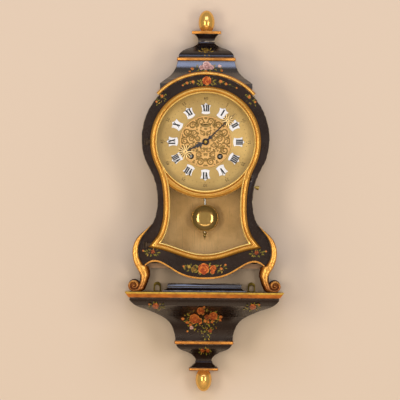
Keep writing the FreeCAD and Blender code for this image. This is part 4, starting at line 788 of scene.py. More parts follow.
doorBand = joined("doorFrame", bands)


def onRim(edge):
    return all((round(v.co.x / mm, 1), round(v.co.z / mm + hookRise, 1)) in rim
               for v in edge.verts)


openMesh(doorBand, "EDGE")
for outside in (True, False):
    pickEdges(doorBand, lambda edge: edge.is_boundary and onRim(edge) == outside)
    bpy.ops.mesh.bridge_edge_loops()
closeMesh()

# the bar's rows count down from its upper edge, or up from its lower edge where negative
bar = {"aperture": 82.0, "half": 75.0, "lowCentre": 257.72, "lowRadius": 100.32, "steps": 96,
       "seat": 120.4, "rise": 6.2, "fade": 4, "rows": (
           (0.0, 118.3), (0.0, 124.8), (0.3, 125.6), (0.9, 126.2), (1.8, 126.4), (2.8, 126.1),
           (3.6, 125.0), (4.1, 123.2), (4.4, 121.4), (4.8, 120.9), (5.4, 121.6), (6.2, 122.1),
           (-5.4, 122.2), (-4.0, 121.8), (-3.0, 121.0), (-2.5, 120.5), (-2.1, 120.9),
           (-1.6, 121.7), (-1.0, 121.9), (-0.4, 121.4), (-0.01, 120.2), (-0.01, 118.3),
           (0.0, 118.3))}


def barPlace(u, v):
    x = bar["half"] * (2 * v - 1)
    top = dialHeight - math.sqrt(bar["aperture"] ** 2 - x * x)
    low = bar["lowCentre"] - math.sqrt(bar["lowRadius"] ** 2 - x * x)
    down, depth = bar["rows"][round(u * (len(bar["rows"]) - 1))]
    fade = min(1.0, max(0.0, (bar["half"] - abs(x)) / bar["fade"]))
    return spot(x, min(depth, bar["seat"] + bar["rise"] * fade), (low if down < 0 else top) - down)


crossBar = gridPiece("doorBar", len(bar["rows"]) - 1, bar["steps"], barPlace)
fitted(cleaned(joined("doorFrame", [doorBand, crossBar])), "door", "gilt_wood", (doorGilt,),
       "door_frame", angle=50)
print("door built")


# enamel plaques and numerals
def dialTurn(hour):
    middle = spot(0, 0, dialHeight)
    turn = Matrix.Rotation(math.radians(30 * hour), 4, "Y")
    return Matrix.Translation(middle) @ turn @ Matrix.Translation(-middle)


def dialPoint(across, reach, hour):
    turn = math.radians(30 * hour)
    return (across * math.cos(turn) + reach * math.sin(turn),
            dialHeight - across * math.sin(turn) + reach * math.cos(turn))


pillow = {"outline": 105.6, "spacing": 0.7, "clear": 3.2, "seat": 104.05, "rows": (
    (0, 104.75), (0.2, 105.15), (0.5, 105.4), (1.0, 105.54), (1.6, 105.6))}
plaqueLoop = max(outlinesAt("numeral_plaques", pillow["outline"]),
                 key=lambda loop: sum(p.y for p in loop) / len(loop))
plaque = facePiece("plaque", evenPoints(plaqueLoop, pillow["spacing"], pillow["clear"]),
                   pillow["rows"][0][1])
stepIn(plaque, pillow["rows"])
closeMesh()
skirt(plaque, pillow["seat"])
plaques = [plaque] + [copied(plaque, "plaque", dialTurn(hour)) for hour in range(1, 12)]
fitted(cleaned(joined("numeralPlaques", plaques)), "case", "enamel", (enamel,), "numeral_plaques")

letter = {"tall": 11.4, "thick": 2.45, "thin": 0.95, "serif": 0.75, "lip": 0.4, "width": 12.4,
          "foot": 51.2, "depth": 105.62, "relief": 0.06}
# each sign's width, its strokes (foot, top, weight) and its serifs (place, weight, at the top)
signs = {"I": (3.1, ((1.55, 1.55, "thick"),), ((1.55, "thick", 0), (1.55, "thick", 1))),
         "V": (5.6, ((3.0, 1.2, "thick"), (3.1, 4.6, "thin")),
               ((1.2, "thick", 1), (4.6, "thin", 1))),
         "X": (5.8, ((4.5, 1.3, "thick"), (1.2, 4.6, "thin")),
               ((1.3, "thick", 1), (4.6, "thin", 1), (1.2, "thin", 0), (4.5, "thick", 0)))}


def signShapes(sign):
    shapes, tall, serif = [], letter["tall"], letter["serif"]
    for foot, top, weight in signs[sign][1]:
        half = letter[weight] / 2
        shapes.append([(foot - half, 0), (foot + half, 0), (top + half, tall), (top - half, tall)])
    for x, weight, top in signs[sign][2]:
        half = letter[weight] / 2 + letter["lip"]
        low = tall - serif if top else 0
        shapes.append([(x - half, low), (x + half, low), (x + half, low + serif),
                       (x - half, low + serif)])
    return shapes


def faceViewer(mesh):
    for polygon in mesh.polygons:
        if polygon.normal.y > 0:
            polygon.flip()


def flatPiece(name, shapes, depth, thick):
    # thin raised shapes on the dial; each later shape lies a hair higher
    shape = bmesh.new()
    for number, points in enumerate(shapes):
        lift = depth + hair * (number % 7)
        shape.faces.new([shape.verts.new(spot(x, lift, height)) for x, height in points])
    mesh = bpy.data.meshes.new(name)
    shape.to_mesh(mesh)
    shape.free()
    piece = placed(name, mesh)
    openMesh(piece)
    bpy.ops.mesh.normals_make_consistent(inside=False)
    closeMesh()
    faceViewer(piece.data)
    piece.data.update()
    addModifier(piece, "SOLIDIFY", thickness=thick * mm, offset=1)
    return piece


numeralShapes = []
for hour, word in enumerate(("XII", "I", "II", "III", "IIII", "V", "VI", "VII", "VIII", "IX",
                             "X", "XI")):
    total = sum(signs[sign][0] for sign in word)
    squeeze = min(1.0, letter["width"] / total)
    along = -total / 2
    for sign in word:
        for points in signShapes(sign):
            numeralShapes.append([dialPoint((along + x) * squeeze, letter["foot"] + y, hour)
                                  for x, y in points])
        along += signs[sign][0]
numerals = flatPiece("hourNumerals", numeralShapes, letter["depth"], letter["relief"])
fitted(numerals, "case", "enamel", (inkBlackAndHoleShade,))

track = {"dots": 68.9, "small": 0.5, "large": 0.75, "sides": 10, "relief": 0.05, "numbers": 70.9,
         "size": 7.2, "lift": 0.02, "thick": 0.03, "curve": 3}
dots = []
for minute in range(60):
    size = track["small"] if minute % 5 else track["large"]
    x, height = dialPoint(0, track["dots"], minute / 5)
    turns = [math.tau * k / track["sides"] for k in range(track["sides"])]
    dots.append([(x + size * math.cos(turn), height + size * math.sin(turn)) for turn in turns])
minuteMarks = [flatPiece("minuteDots", dots, dialFace, track["relief"])]
numberPlace = facingForward(0, dialFace + track["lift"], dialHeight + track["numbers"])
for hour in range(12):
    bpy.ops.object.text_add()
    words = bpy.context.object.data
    words.body = str(5 * hour or 60)
    words.size = track["size"] * mm
    words.align_x = "CENTER"
    words.resolution_u = track["curve"]
    words.extrude = track["thick"] * mm
    bpy.ops.object.convert(target="MESH")
    minuteMarks.append(named("minuteNumber"))
    minuteMarks[-1].data.transform(dialTurn(hour) @ numberPlace)
fitted(joined("minuteTrack", minuteMarks), "case", "dial_brass", (engravingAndRayShade,))

# chased centre: scrolls and leaves raised on a light ground, mirrored left and right
rimRing = turned("chasedRim", [(41.4, 0), (41.4, 0.5), (41.9, 0.95), (42.6, 1.1), (43.2, 0.9),
                               (43.55, 0.4), (43.55, 0)], 120)
rimRing.data.transform(facingForward(0, chasedFace, dialHeight))
painted(rimRing, chasedGround)
scrollSteps = 43
scrollRows = []
for k in range(scrollSteps + 1):
    share = k / scrollSteps
    turn = math.radians(-60 + 560 * share)
    reach = 1.0 * (1 - share) ** 0.8 + 0.16
    scrollRows.append((reach * math.cos(turn), reach * math.sin(turn), 0.27 * (1 - 0.5 * share)))


def scrollPlace(u, v):
    step = round(v * scrollSteps)
    x, z, half = scrollRows[step]
    ahead, behind = scrollRows[min(scrollSteps, step + 1)], scrollRows[max(0, step - 1)]
    along = Vector((ahead[0] - behind[0], ahead[1] - behind[1])).normalized()
    side, lift = half * math.cos(math.tau * u), half * math.sin(math.tau * u)
    return Vector((x - along.y * side, -lift * 0.8, z + along.x * side))


def leafPlace(u, v):
    half = 0.42 * math.sin(math.pi * min(1, v * 1.02) ** 0.75) + 0.012
    turn = math.tau * u
    return Vector((half * math.cos(turn) + 0.18 * math.sin(math.pi * v),
                   -0.2 * math.sin(turn) * (1 - 0.4 * v), v))


scroll = painted(gridPiece("chasedScroll", 8, scrollSteps, scrollPlace), chasedGilt)
leaf = painted(gridPiece("chasedLeaf", 8, 12, leafPlace), chasedGilt)
windingSquare = {"x": 24.4, "drop": 24.5, "clear": 5.4}
# angle and reach on the dial, size, turn and, for a scroll, its hand
scrollSpots = (
    (14, 35.0, 5.6, 0, 1), (38, 35.2, 5.4, 70, -1), (62, 35.0, 5.6, 100, 1),
    (88, 35.2, 5.4, 140, -1), (114, 35.0, 5.6, 170, 1), (140, 35.2, 5.4, 210, -1),
    (165, 34.6, 5.4, 240, 1), (52, 24.5, 4.3, 20, 1), (78, 24.0, 4.6, 60, -1),
    (104, 24.5, 4.3, 120, 1), (150, 24.5, 4.4, 220, 1), (66, 14.5, 3.9, 80, 1),
    (112, 14.5, 3.9, 140, -1), (160, 14.5, 3.6, 190, 1), (20, 15.5, 3.6, 10, -1))
leafSpots = [
    (0, 37.5, 5.0, 0), (26, 30.0, 5.4, 60), (26, 37.5, 4.4, -30), (50, 30.5, 5.0, 110),
    (50, 38.4, 3.6, 20), (75, 30.0, 5.4, 20), (75, 38.2, 3.8, 120), (101, 30.4, 5.2, 170),
    (101, 38.2, 3.8, 70), (127, 30.2, 5.4, 100), (127, 38.2, 3.8, 180), (152, 30.5, 5.0, 210),
    (152, 38.4, 3.6, 120), (178, 38.0, 4.6, 180), (90, 18.0, 5.0, 90), (66, 19.2, 4.2, 40),
    (118, 19.6, 4.2, 150), (174, 18.6, 5.4, 174), (136, 17.5, 4.6, 100), (40, 17.6, 4.6, 60),
    (8, 10.5, 4.6, 8), (60, 9.6, 4.2, 60), (120, 9.6, 4.2, 120), (172, 9.8, 4.6, 172),
    (34, 28.0, 4.2, -40)]
for ring, count, size, turn in ((11.5, 4, 3.6, 70), (20.5, 6, 4.4, -60), (28.5, 9, 4.0, 55),
                                (32.0, 10, 3.6, -75), (40.2, 13, 3.2, 80)):
    for k in range(count):
        angle = 6 + 168 * k / (count - 1)
        leafSpots.append((angle, ring, size, angle + turn * (-1) ** k))
# x, height and radius of what is covered: motifs, winding hole, panel and hub
taken = [dialPoint(0, reach, angle / 30) + (size * 1.05,)
         for angle, reach, size, turn, hand in scrollSpots]
taken += [dialPoint(0, reach + size / 2, angle / 30) + (size * 0.5,)
          for angle, reach, size, turn in leafSpots]
taken += [(windingSquare["x"], dialHeight - windingSquare["drop"], 6.0),
          (0, dialHeight + 27.4, 9.0), (0, dialHeight, 8.0)]
for ring in range(9, 41, 4):  # small leaves in the places left bare
    for k in range(int(ring * 0.8)):
        angle = 180 * (k + 0.5) / int(ring * 0.8)
        x, height = dialPoint(0, ring, angle / 30)
        if all(math.hypot(x - a, height - b) > room + 1.2 for a, b, room in taken):
            leafSpots.append((angle, ring, 3.8, angle + (65 if k % 2 else -110)))
            taken.append((x, height, 2.0))
chased = [rimRing]


def addMotif(motif, mirror, angle, reach, size, turn, hand, middle, room):
    # middle is how far along the motif its centre lies; the winding holes stay open
    x, height = dialPoint(0, reach, angle / 30)
    lean = math.radians(turn)
    away = math.hypot(x + middle * math.sin(lean) - windingSquare["x"],
                      height + middle * math.cos(lean) - dialHeight + windingSquare["drop"])
    if away > room + windingSquare["clear"]:
        chased.append(copied(motif, motif.name, (
            Matrix.Scale(mirror, 4, (1, 0, 0)) @ Matrix.Translation(spot(x, chasedFace, height))
            @ Matrix.Rotation(lean, 4, "Y") @ Matrix.Scale(size * mm, 4)
            @ Matrix.Scale(hand, 4, (1, 0, 0)))))


for mirror in (1, -1):
    for angle, reach, size, turn, hand in scrollSpots:
        addMotif(scroll, mirror, angle, reach, size, turn, hand, 0, size)
    for angle, reach, size, turn in leafSpots:
        addMotif(leaf, mirror, angle, reach, size, turn, 1, size / 2, size / 2)
for template in (scroll, leaf):
    bpy.data.objects.remove(template)
label = {"x": 11.0, "tall": 3.4, "reach": 27.4, "corners": 48}  # bare panel above the hub
panelEdge = []
for k in range(label["corners"]):
    turn = math.tau * k / label["corners"]
    pinch = 1 - 0.16 * math.cos(2 * turn)
    panelEdge.append((label["x"] * math.cos(turn) * (1 - 0.1 * math.cos(4 * turn)),
                      dialHeight + label["reach"] + label["tall"] * math.sin(turn) * pinch
                      + 0.9 * math.cos(turn) ** 2))
panel = painted(facePiece("chasedPanel", panelEdge, 105.5), chasedGround, chasedGilt)
stepIn(panel, ((0, 105.5), (0.3, 105.6), (0.6, 105.58), (0.8, 105.5)))
panel.active_material_index = 1
bpy.ops.object.material_slot_assign()
closeMesh()
skirt(panel, chasedFace)
chased.append(panel)
fitted(cleaned(joined("chasedScrolls", chased)), "case", "chased_gilt", (), angle=60)

# black rings round the winding squares: painted shade standing for the dark of the winding holes
collets = []
for side in (-1, 1):
    collets.append(turned("windingCollet", [(3.95, 0), (3.95, 0.45), (4.2, 0.7), (4.6, 0.6),
                                            (4.95, 0.25), (4.95, 0)], 40))
    collets[-1].data.transform(facingForward(windingSquare["x"] * side, chasedFace,
                                             dialHeight - windingSquare["drop"]))
fitted(joined("windingCollets", collets), "case", "blued_steel", (inkBlackAndHoleShade,))
print("dial built")

# hands: shaft rows are (reach, half width), leaves (start, length, lean, half width)
minuteHand = {
    "turn": 45.8, "depth": 109.5, "star": 51.3, "size": 11.6, "rays": 12,
    "shaft": ((4.5, 1.5), (8, 1.1), (20, 0.95), (43.5, 0.85), (50, 0.7), (58, 0.5), (62, 0.45),
              (69.4, 0.2)),
    "leaves": ((6.0, 8.0, 22, 1.0), (6.0, 8.0, -22, 1.0), (6.0, 12.0, 0, 1.5))}
hourHand = {
    "turn": 243.8, "depth": 106.9, "star": 38.0, "size": 14.0, "rays": 14,
    "shaft": ((4.5, 1.9), (8, 1.2), (11, 1.1), (24, 1.3), (28, 0.9), (38, 0.6)),
    "leaves": ((7.0, 8.0, 40, 1.5), (7.0, 8.0, -40, 1.5), (12.0, 7.0, 28, 1.2),
               (12.0, 7.0, -28, 1.2), (10.0, 5.0, 85, 1.2), (10.0, 5.0, -85, 1.2),
               (8.5, 13.0, 0, 2.2))}


def blade(name, rows, start, lean, thick):
    # a faceted blade lying along a direction in the dial's plane
    turn = math.radians(lean)

    def place(u, v):
        along, half = rows[round(v * (len(rows) - 1))]
        across, lift = ((-1, 0), (0, 1), (1, 0), (0, -1), (-1, 0))[round(u * 4)]
        x = across * half
        return Vector((x * math.cos(turn) + along * math.sin(turn), -lift * thick * min(1, half),
                       start + along * math.cos(turn) - x * math.sin(turn))) * mm

    return gridPiece(name, 4, len(rows) - 1, place)


def leafRows(length, half):
    return [(length * k / 8, 0.08 + half * math.sin(math.pi * (k / 8) ** 0.8)) for k in range(9)]


def handPieces(name, hand):
    blued = [blade(name + "Shaft", hand["shaft"], start=0, lean=0, thick=0.45)]
    for start, length, lean, half in hand["leaves"]:
        blued.append(blade(name + "Leaf", leafRows(length, half), start, lean, thick=0.42))
    hub = turned(name + "Hub", [(2.6, -0.45), (5.7, -0.45), (5.8, 0), (5.5, 0.4), (4.6, 0.46),
                                (4.2, 0.25), (2.6, 0.25)], 48)
    hub.data.transform(towardViewer)
    blued.append(hub)
    star, size, gold = Matrix.Translation((0, 0, hand["star"] * mm)), hand["size"], []
    for k in range(2 * hand["rays"]):  # gold rays with dark ones in the gaps between them, as painted shade
        length = size * (1.0, 0.74, 0.84, 0.74)[k % 4]
        rows = ((1.2, 0.7), (length * 0.5, 0.86), (length * 0.85, 0.66), (length, 0.2))
        ray = blade(name + "Ray", rows, 0, 180 * k / hand["rays"], thick=(0.28, 0.14)[k % 2])
        ray.data.transform(star)
        gold.append(painted(ray, (handGold, engravingAndRayShade)[k % 2]))
    dome = turned(name + "Boss", [
        (0, -0.45), (size * 0.26, -0.45), (size * 0.28, 0), (size * 0.26, 0.4), (size * 0.21, 0.42),
        (size * 0.18, 0.3), (size * 0.12, 0.6), (size * 0.06, 0.8), (0, 0.84)], 36)
    pin = turned(name + "Pin", [(0, 0), (1.0, 0), (1.0, 0.84), (0.6, 0.95), (0, 1.0)], 20)
    for part in (dome, pin):
        part.data.transform(star @ towardViewer)
    gold.append(painted(dome, handGold))
    blued.append(pin)
    pieces = joined(name + "Steel", blued), joined(name + "Star", gold)
    for piece in pieces:
        piece.data.transform(Matrix.Translation(spot(0, hand["depth"], dialHeight))
                             @ Matrix.Rotation(math.radians(hand["turn"]), 4, "Y"))
        cleaned(piece)
    return pieces


for name, nodeName, hand in (("minuteHand", "minute_hand", minuteHand),
                             ("hourHand", "hour_hand", hourHand)):
    blue, star = handPieces(name, hand)
    fitted(blue, nodeName, "blued_steel", (bluedSteel,), nodeName, angle=30)
    fitted(star, nodeName, "blued_steel", (), angle=30)
nut = turned("handNut", [(0.0, 0.0), (3.4, 0.0), (3.4, 0.7), (3.1, 1.5), (2.4, 2.1), (1.3, 2.5),
                         (0, 2.6)], 48)
nutDepth = 110.8
nut.data.transform(facingForward(0, nutDepth, dialHeight))
fitted(nut, "minute_hand", "brass", (brass,), "hand_nut")
print("hands built")

# pendulum bob and rating nut
bob = {"depth": 35.0, "height": 124.4, "dome": 21.5, "lift": 5.6, "step": 2.4, "bore": 1.85,
       "steps": 24, "rim": ((21.7, 2.0), (21.95, 2.0), (22.1, 2.5), (22.45, 2.5), (22.8, 2.0),
                            (22.95, 1.2))}
shares = [k / bob["steps"] for k in range(bob["steps"] + 1)]
bobRows = [(bob["dome"] * share, bob["step"] + bob["lift"] * (1 - share ** 3.6) ** 0.95)
           for share in shares]
bobRows += bob["rim"]
bobRows += [(23.0, 0)] + [(radius, -along) for radius, along in reversed(bobRows)]
lens = turned("pendulumBob", bobRows, 128)
lens.data.transform(facingForward(0, bob["depth"], bob["height"]))
fitted(lens, "pendulum", "brass", (bobBrass,), "pendulum_bob", angle=35)

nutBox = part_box("rating_nut")
nutLow, nutHigh = (corner[2] / mm + hookRise for corner in nutBox)
nutRadius = (nutBox[1][0] - nutBox[0][0]) / 2 / mm
boreEnd = 96.8
nutShares = ((0.72, 1.0), (0.95, 0.95), (1.0, 0.88), (0.93, 0.81), (0.55, 0.74), (0.5, 0.68),
             (0.72, 0.6), (0.74, 0.5), (0.55, 0.38), (0.32, 0.27), (0.22, 0.2), (0.34, 0.13),
             (0.34, 0.07), (0.2, 0.015))
nutRows = [(bob["bore"], nutHigh)]
nutRows += [(nutRadius * r, nutLow + (nutHigh - nutLow) * h) for r, h in nutShares]
nutRows += [(0, nutLow), (0, boreEnd), (bob["bore"], boreEnd)]
ratingNut = turned("ratingNut", nutRows, 48)
ratingNut.data.transform(Matrix.Translation(spot(0, bob["depth"], 0)))
fitted(ratingNut, "rating_nut", "brass", (brass,), "rating_nut", angle=50)
print("pendulum built")

# painted flowers
random.seed(4)
petalTones = {name: [rgb(code) for code in codes.split()] for name, codes in (  # dark to light
    ("orange", "8a2e0c d46a20 ee9c48"), ("budOrange", "7a260a b85a1c dc8a3e"),
    ("pink", "96685e d8a498 f4d2c4"), ("gold", "4a3008 93701f c4a244"),
    ("rust", "5e1c08 a44a16 d47c34"), ("leaf", "191b06 665d18 9b8c2c"),
    ("olive", "14150a 474413 77702a"), ("cream", "5a3c1c a8823f dcb878"))}
grounds = {nodeName: cornerProfile(nodeName)
           for nodeName in ("bracket_body", "bracket_bell", "hood_lower", "hood_bell")}


def turnedPoint(x, height, u, v, turn):
    return (x + u * math.cos(turn) - v * math.sin(turn),
            height + u * math.sin(turn) + v * math.cos(turn))


def stripFaces(steps):
    # quads of a strip with three points in each row
    return [(i, i + 3, i + 4, i + 1) for k in range(steps) for i in (3 * k, 3 * k + 1)]


class Spray:
    # collects brush strokes that lie on one surface, each a hair above the last
    def __init__(self, name, ground, body):
        self.name, self.ground, self.body = name, ground, body
        self.points, self.faces, self.tones, self.lift = [], [], [], 0.1

    def add(self, points, faces, tones):
        first = len(self.points)
        self.lift += hair
        for x, height in points:
            depth = frontDepth
            if self.ground in grounds:
                depth = finialAxis + lookUp(grounds[self.ground], height)
            self.points.append(spot(x, depth + self.lift, height))
        self.faces += [[first + i for i in face] for face in faces]
        self.tones += tones

    def petal(self, x, height, size, tone, squash=0.85, lean=0.0):
        # a round stroke, darker at its heart and light on one rim
        dark, middle, light = petalTones[tone]
        count = 12
        points, tones = [(x, height)], [middle]
        faces = [(0, k + 1, (k + 1) % count + 1) for k in range(count)]
        wobble = [1 + random.uniform(-0.08, 0.08) for k in range(count)]
        for ring in (1, 2, 3):
            for k in range(count):
                turn = math.tau * k / count
                reach = size * wobble[k] * ring / 3
                points.append(turnedPoint(x, height, reach * math.cos(turn),
                                          reach * squash * math.sin(turn), lean))
                glow = 0.5 + 0.5 * math.cos(turn)
                rim = [d + (l - d) * glow for d, l in zip(dark, light)]
                tones.append([m + (r - m) * ring / 3 for m, r in zip(middle, rim)])
                if ring < 3:
                    near, far = count * (ring - 1) + 1, count * ring + 1
                    ahead = (k + 1) % count
                    faces.append((near + k, far + k, far + ahead, near + ahead))
        self.add(points, faces, tones)

    def leaf(self, x, height, length, turn, tone="leaf", wide=0.24):
        dark, middle, light = petalTones[tone]
        points = []
        for k in range(6):
            share = k / 5
            half = length * wide * math.sin(math.pi * (0.04 + 0.94 * share) ** 0.8)
            bend = 0.12 * length * math.sin(math.pi * share)
            points += [turnedPoint(x, height, length * share, bend + half * side,
                                   math.radians(turn)) for side in (-1, 0, 1)]
        self.add(points, stripFaces(5), [dark, light, middle] * 6)

    def leaves(self, rows, side=1, tone="leaf"):
        for x, height, size, turn in rows:
            self.leaf(side * x, height, size, turn if side > 0 else 180 - turn, tone)

    def stem(self, path, width=0.9, tone="olive", side=1):
        rows = smoothPath([(side * x, height) for x, height in path], 5 * len(path))
        points = []
        for i, (x, height) in enumerate(rows):
            ahead, behind = rows[min(i + 1, len(rows) - 1)], rows[max(i - 1, 0)]
            along = Vector((ahead[0] - behind[0], ahead[1] - behind[1])).normalized()
            half = width / 2 * (1 - 0.5 * i / len(rows))
            points += [(x - along.y * half, height + along.x * half),
                       (x + along.y * half, height - along.x * half)]
        faces = [(i, i + 1, i + 3, i + 2) for i in range(0, 2 * len(rows) - 2, 2)]
        self.add(points, faces, [petalTones[tone][1]] * len(points))

    def arc(self, x, height, reach, start, span, thick, tones):
        # a curved stroke, dark on its inner side
        points = []
        for k in range(8):
            turn = math.radians(start + span * k / 7)
            half = thick * (0.15 + 0.85 * math.sin(math.pi * k / 7))
            points += [(x + (reach + half * side) * math.cos(turn),
                        height + (reach + half * side) * math.sin(turn))
                       for side in (-0.5, 0.1, 0.5)]
        self.add(points, stripFaces(7), tones * 8)

    def rose(self, x, height, size, tone="orange"):
        # rings of curved strokes turned against each other over a dark ground
        dark, middle, light = petalTones[tone]
        self.petal(x, height, size * 0.93, "rust" if tone == "orange" else tone, 0.94,
                   random.uniform(0, 3))
        for count, ring, thick in ((6, 0.82, 0.36), (5, 0.58, 0.32), (4, 0.36, 0.26),
                                   (3, 0.17, 0.18)):
            first = random.uniform(0, 360)
            for k in range(count):
                span = 360 / count * random.uniform(1.05, 1.3)
                tones = [dark, middle, light] if k % 2 else [dark, dark, middle]
                self.arc(x, height, size * ring, first + 360 * k / count, span, size * thick, tones)
        self.petal(x, height, size * 0.09, "rust", 0.9)

    def roses(self, *rows):
        for row in rows:
            self.rose(*row)

    def fringe(self, x, height, wide, tall, count):
        # small loose strokes about a cluster, pointing away from it
        for k in range(count):
            turn = math.tau * (k + random.uniform(-0.3, 0.3)) / count
            share = random.uniform(0.75, 1.1)
            u, v = x + wide * share * math.cos(turn), height + tall * share * math.sin(turn)
            self.leaf(u, v, random.uniform(2.2, 4.6), math.degrees(turn) + random.uniform(-50, 50),
                      ("leaf", "olive", "gold", "leaf")[k % 4])
            if k % 3 == 0:
                self.petal(u + random.uniform(-3, 3), v + random.uniform(-2, 2),
                           random.uniform(0.4, 0.8), ("gold", "orange", "cream")[k // 3 % 3])

    def bud(self, x, height, size, turn, tone="budOrange"):
        for share, lean, wide in ((1.5, 0, 0.42), (1.2, 26, 0.24), (1.2, -26, 0.24)):
            self.leaf(x, height, size * share, turn + lean, tone, wide)
        for lean in (-50, 50):
            self.leaf(x, height, size * 0.8, turn + lean, "leaf", 0.2)

    def buds(self, *rows):
        for row in rows:
            self.bud(*row)

    def finish(self):
        mesh = bpy.data.meshes.new(self.name)
        mesh.from_pydata(self.points, [], self.faces)
        tones = mesh.color_attributes.new("stroke", "FLOAT_COLOR", "POINT")
        for item, tone in zip(tones.data, self.tones):
            item.color = tone
        faceViewer(mesh)
        fitted(placed(self.name, mesh), self.body, "black_lacquer", (paint,))


# stems are paths; leaves, roses and buds are rows of x, height, size and then turn or tone
spray = Spray("hoodBellSpray", "hood_bell", "case")
spray.stem(((-9, 405), (-3, 408), (0, 406)), 0.8, "gold")
spray.stem(((8, 405), (3, 409), (0, 406)), 0.8, "gold")
spray.leaves(((-9.5, 406, 4.8, 150), (-6, 408.5, 4.5, 110), (6.5, 408, 4.8, 60),
              (8.5, 405, 4.2, 20)), tone="gold")
spray.rose(-1, 408, 4.6, "gold")
spray.petal(-2.7, 399.4, 1.2, "gold")
spray.petal(4.4, 399.4, 1.2, "gold")
spray.finish()

spray = Spray("hoodSpray", "hood_lower", "case")
spray.stem(((-26, 373), (-18, 378), (-8, 378), (0, 378)))
spray.stem(((26, 372), (19, 379), (8, 378), (0, 378)))
spray.leaves(((-14, 379, 5, 130), (-12, 375, 5, 210), (13, 380, 5, 50), (14, 375.5, 5, -30),
              (-5, 374, 5, 230), (5, 374, 5, -50), (-23, 377, 4, 160), (24, 377, 4, 20)))
spray.fringe(0.6, 379.5, 14, 5.0, 14)
spray.roses((0.6, 382, 7.4, "pink"), (-8, 378.5, 4.2, "pink"), (9, 379, 4.2, "pink"))
spray.buds((-20.5, 376.5, 4.2, 170), (19.8, 379.5, 4.4, 20, "pink"), (23.5, 374, 3.4, -20),
           (-26, 372.6, 2.8, 200), (-0.5, 375, 3.4, 265))
spray.finish()

spray = Spray("headSpray", "front", "case")
spray.stem(((-38, 348.5), (-28, 353), (-14, 353), (0, 355)))
spray.stem(((50, 344.5), (33, 351), (16, 353.5), (0, 355)))
spray.leaves(((-9.5, 355, 6, 160), (-12, 352, 5, 200), (12, 355, 6, 20), (13, 351, 5, -20),
              (-24, 353, 4.5, 150), (-34, 350.5, 4.2, 180), (27, 352.5, 4.5, 30),
              (38, 349, 4.5, 10), (-6, 350.5, 4.5, 230), (8, 350.5, 4.5, -45)))
spray.fringe(1.2, 355, 11, 5.5, 12)
spray.fringe(1.2, 352.5, 27, 3.0, 12)
spray.rose(1.2, 355.8, 7.6)
spray.buds((-18.8, 353.4, 4.2, 165), (-29.2, 352, 3.8, 175), (21.4, 353.4, 4.4, 15),
           (30.8, 350.6, 3.6, -10), (-37.5, 348.7, 2.6, 200), (49.6, 344.6, 2.4, -25))
for side in (-1, 1):
    spray.stem(((84, 315), (77, 324), (67, 334)), 0.8, side=side)
    spray.fringe(side * 75, 325, 6, 6, 9)
    spray.buds((side * 74.5, 326, 4.2, 90 + side * 20, "rust"),
               (side * 81, 319, 3.0, 90 - side * 60))
    spray.leaves(((66, 331, 4, 40), (78, 323, 4.2, -20), (70, 328, 4, 100), (82, 316, 3.6, -60)),
                 side)
for side in (-1, 1):
    spray.stem(((74, 64), (84, 66), (96, 68)), 0.8, side=side)
    spray.fringe(side * 88, 66, 9.5, 4.0, 10)
    spray.rose(side * 87.2, 67.2, 3.3, "rust")
    spray.leaves(((98, 68, 5.4, 15), (96, 65, 4.6, -25), (84, 63, 4.6, 230), (79, 65, 5.0, 165),
                  (90, 62.5, 4.4, -60), (92, 69.5, 4.0, 50)), side)
    spray.bud(side * 101.5, 68.6, 2.6, 90 - side * 75)
spray.finish()

spray = Spray("apronSpray", "front", "case")
spray.stem(((-35, 43.5), (-22, 40), (-8, 39), (0, 38)))
spray.stem(((38, 44), (26, 40), (12, 39), (0, 38)))
spray.leaves(((-10, 43, 7, 150), (-11, 36, 7, 205), (8, 44.5, 6, 60), (9, 33, 6, -40),
              (20, 42, 6, 40), (22, 36.5, 6, -15), (-25, 43, 5.4, 140), (-26, 38, 5.4, 215),
              (-33, 43.5, 4.6, 170), (32, 43, 5, 20), (-6, 33, 5, 240)))
spray.fringe(-1.5, 39, 13, 7.5, 16)
spray.fringe(22, 40, 12, 4.5, 12)
spray.fringe(-23, 40, 12, 4.5, 12)
spray.roses((-1.5, 39.3, 9.6), (14.5, 40.4, 5.4), (13.5, 34.2, 3.8), (-18.5, 37.8, 4.6, "gold"))
spray.buds((-22.9, 41.5, 4.6, 150, "gold"), (-32.8, 42.9, 3.0, 165), (25.4, 38.5, 3.8, 10),
           (33.5, 44.6, 3.0, 35))
spray.finish()

spray = Spray("bracketSpray", "bracket_body", "bracket")
spray.stem(((-36, -45), (-24, -47), (-8, -47), (0, -50)), 1.0)
spray.stem(((27, -43), (18, -44), (6, -46), (0, -50)), 1.0)
spray.stem(((0, -50), (3, -60), (5, -70), (3.5, -81)), 1.0)
spray.stem(((0, -50), (-12, -57), (-22, -61), (-28, -66)))
spray.leaves(((-24, -40, 7, 140), (-28, -48, 7, 195), (-8, -35, 6, 110), (4, -33, 6, 70),
              (17, -36, 7, 40), (20, -46, 7, -20), (-12, -53, 7, 235), (6, -54, 7, -60),
              (3, -66, 5, 200), (5, -72, 5, -30), (10, -62, 5, 20), (-24, -58, 5, 150),
              (-18, -62, 5, -60), (-2, -28, 5, 80)))
spray.fringe(-4, -43, 27, 12, 30)
spray.fringe(-2, -56, 22, 10, 22)
spray.fringe(4, -70, 6, 9, 12)
spray.buds((-6, -48, 4.8, 250), (0, -46, 4.4, 290), (4, -49, 4, 320, "rust"),
           (-2, -39, 4, 80, "rust"), (3, -43, 4, 20, "rust"), (-26, -50, 4, 200, "rust"),
           (-22, -53, 4, 240, "rust"), (24, -46, 4, -30, "rust"), (12, -48, 3.6, -70, "rust"))
spray.roses((-16.5, -45.2, 8.6), (-8.6, -47.8, 4.6, "rust"), (15.5, -40.6, 7.6),
            (5.2, -42.4, 4.8, "rust"), (-5.8, -31.5, 6.6), (-21, -60.5, 3.2, "pink"),
            (10.7, -65.5, 3.2, "rust"))
